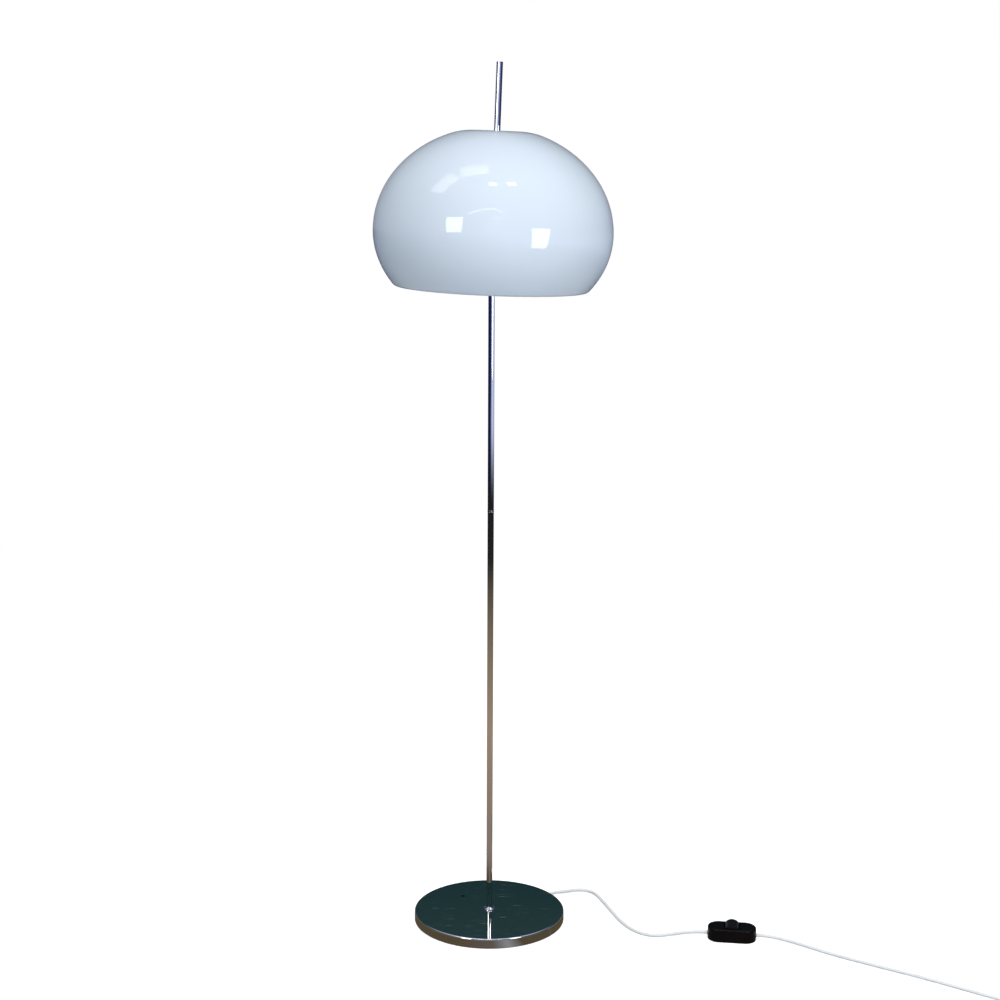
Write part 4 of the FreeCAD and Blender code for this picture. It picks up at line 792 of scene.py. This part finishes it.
floor_finish.tree.links.new(shown.socket, floor_finish.tree.nodes["Material Output"].inputs["Surface"])
floor.data.materials.append(floor_finish.material)
print("floor radius", FLOOR_RADIUS)

# %% [markdown]
# A mirrored ray that misses the floor meets the ceiling or, near the horizon, the walls, which are pale at
# the front, dim at the left and dark at the right.

# %% World
AMBIENT = 0.42
WALLS_TO, CEILING_FROM = 0.12, 0.22


def background(colour, strength=1.0):
    return sky.add("ShaderNodeBackground", {}, {"Color": colour, "Strength": strength})


world = bpy.data.worlds.new("studio")
world.use_nodes = True
bpy.context.scene.world = world
sky = Nodes(world.node_tree)
sky.tree.nodes.clear()
ray = sky.tree.nodes.new("ShaderNodeLightPath")
direction = sky.add("ShaderNodeTexCoord", output="Generated")
height = sky.split(direction)[2]
ceiling = sky.ramp(height, [
    (0.0, (0.010, 0.012, 0.030)), (0.12, (0.012, 0.020, 0.035)), (0.30, (0.011, 0.034, 0.036)),
    (0.60, (0.03, 0.06, 0.065)), (0.80, (0.45, 0.47, 0.60)), (1.0, (0.75, 0.77, 0.90))])
dusk, night = (0.15, 0.15, 0.20), (0.02, 0.03, 0.09)
walls = sky.ramp(bearing(sky, direction), [
    (0.0, dusk), (0.30, dusk), (0.50, (0.60, 0.65, 0.95)), (0.60, (0.15, 0.17, 0.33)), (0.70, night),
    (0.92, night), (1.0, dusk)])
room = sky.blend(sky.smooth(height, WALLS_TO, CEILING_FROM), walls, ceiling)
ambient, reflected, behind = background(rgb(0.90, 0.97, 1.0), AMBIENT), background(room), background(WHITE)
glossy = Signal(sky, ray.outputs["Is Glossy Ray"])
direct = Signal(sky, ray.outputs["Is Camera Ray"])
through = Signal(sky, ray.outputs["Is Transmission Ray"])
light = either(sky, direct + through, either(sky, glossy, ambient, reflected), behind)
world_out = sky.tree.nodes.new("ShaderNodeOutputWorld")
sky.tree.links.new(light.socket, world_out.inputs["Surface"])
print("world lit")

# %% [markdown]
# A large soft lamp above the front carries the picture and a weaker one fills in from behind. Both are
# hidden from mirrors. Two bright panes stand where the room's windows would be, and show as squares on the
# shade and as stripes on the pole. Two small ones make the spots near the shade's crown.

# %% Lamps
def facing(place, target, tilt=0, roll=0):
    """Rotation that turns -Z from a place to a target, then tilts and rolls by some degrees."""
    turn = (Vector(target) - Vector(place)).to_track_quat("-Z", "Y").to_matrix().to_4x4()
    return turn @ Matrix.Rotation(math.radians(tilt), 4, "X") @ Matrix.Rotation(math.radians(roll), 4, "Z")


def pane(name, place, target, width, height, power, colour=(1, 1, 1), mirrored=True, tilt=0, roll=0):
    data = bpy.data.lights.new(name, "AREA")
    data.shape = "RECTANGLE"
    data.size = width
    data.size_y = height
    data.energy = power
    data.color = colour
    lamp = link(data, name)
    lamp.matrix_world = Matrix.Translation(place) @ facing(place, target, tilt, roll)
    lamp.visible_glossy = mirrored
    lamp.visible_camera = False
    return lamp


SHADE_HEART, POLE_HEART = (0.003, 0, 1.38), (0, 0, 1.2)
lamps = [
    pane("key", (0.5, -2.4, 4.2), POLE_HEART, 1.8, 1.8, 68, mirrored=False),
    pane("fill", (-1.0, 2.9, 2.4), POLE_HEART, 1.6, 1.6, 26, mirrored=False),
    pane("left_window", (-1.84, -2.56, 1.96), SHADE_HEART, 0.84, 0.99, 21, (0.97, 0.98, 1.0),
         tilt=-18, roll=3),
    pane("right_window", (1.08, -1.19, 1.215), SHADE_HEART, 0.45, 0.72, 8, (0.96, 0.98, 1.0),
         tilt=-32, roll=-3),
    pane("left_spot", (0.02, -1.55, 4.13), SHADE_HEART, 0.32, 0.20, 2.4),
    pane("right_spot", (0.80, -1.41, 4.1), SHADE_HEART, 0.36, 0.24, 3.2)]
print("lamps", [lamp.name for lamp in lamps])

# %% [markdown]
# The room's ceiling lights are mirrored faintly in the shade: a hatched band at its upper left, and a small
# hook with three short bars near its middle. They are glowing pieces that only polished surfaces see.

# %% Ceiling lights
SLAT_WAVES = 33
HOOK = [(-1.18, -2.68, 2.67), (-0.61, -2.73, 2.93), (0.11, -2.73, 3.04), (0.5, -2.85, 2.76)]
RUNGS = [(0.01, 0.40, -3.0, 2.49), (0.06, 0.36, -3.12, 2.11), (0.18, 0.26, -3.19, 1.80)]
HOOK_THICK, RUNG_THICK = 0.034, 0.045


def only_mirrored(thing, finish):
    thing.data.materials.append(finish.material)
    thing.visible_camera = thing.visible_diffuse = thing.visible_shadow = thing.visible_transmission = False


def glowing(name, pattern, dim, bright):
    finish = Finish(name, (0, 0, 0), 1.0)
    light = glow(finish, rgb(0.95, 1.0, 0.97), pattern(finish) * (bright - dim) + dim)
    finish.tree.links.new(light.socket, finish.tree.nodes["Material Output"].inputs["Surface"])
    return finish


def slatted(finish):
    across = finish.split(finish.place())[0] * SLAT_WAVES
    return finish.smooth(across.math("SINE", across), 0.0, 0.6)


def hang_sheet(name, place, width, length, roll):
    shape = bmesh.new()
    bmesh.ops.create_grid(shape, x_segments=1, y_segments=1, size=0.5)
    bmesh.ops.transform(shape, matrix=Matrix.Diagonal((width, length, 1, 1)), verts=shape.verts)
    mesh = bpy.data.meshes.new(name)
    shape.to_mesh(mesh)
    shape.free()
    sheet = link(mesh, name)
    sheet.matrix_world = Matrix.Translation(place) @ facing(place, SHADE_HEART, roll=roll)
    only_mirrored(sheet, slats)


def hang_tube(name, points, radius):
    curve = bpy.data.curves.new(name, "CURVE")
    curve.dimensions = "3D"
    curve.bevel_depth = radius
    line = curve.splines.new("POLY")
    line.points.add(len(points) - 1)
    for knot, point in zip(line.points, points):
        knot.co = (*point, 1)
    only_mirrored(link(curve, name), tubes)


def patchy(finish):
    return finish.noise(finish.place(), 9.0, 1.0)


slats = glowing("slats", slatted, dim=1.0, bright=6.0)
tubes = glowing("tubes", patchy, dim=0.8, bright=9.0)
hang_sheet("slats_low", (-1.82, -0.72, 3.82), 0.70, 1.15, 0)
hang_sheet("slats_high", (-0.66, -0.55, 4.36), 0.70, 1.05, -42)
hang_tube("hook", HOOK, HOOK_THICK)
for number, (left, right, deep, high) in enumerate(RUNGS):
    hang_tube(f"rung_{number}", [(left, deep, high), (right, deep, high)], RUNG_THICK)
print("ceiling lights hung")
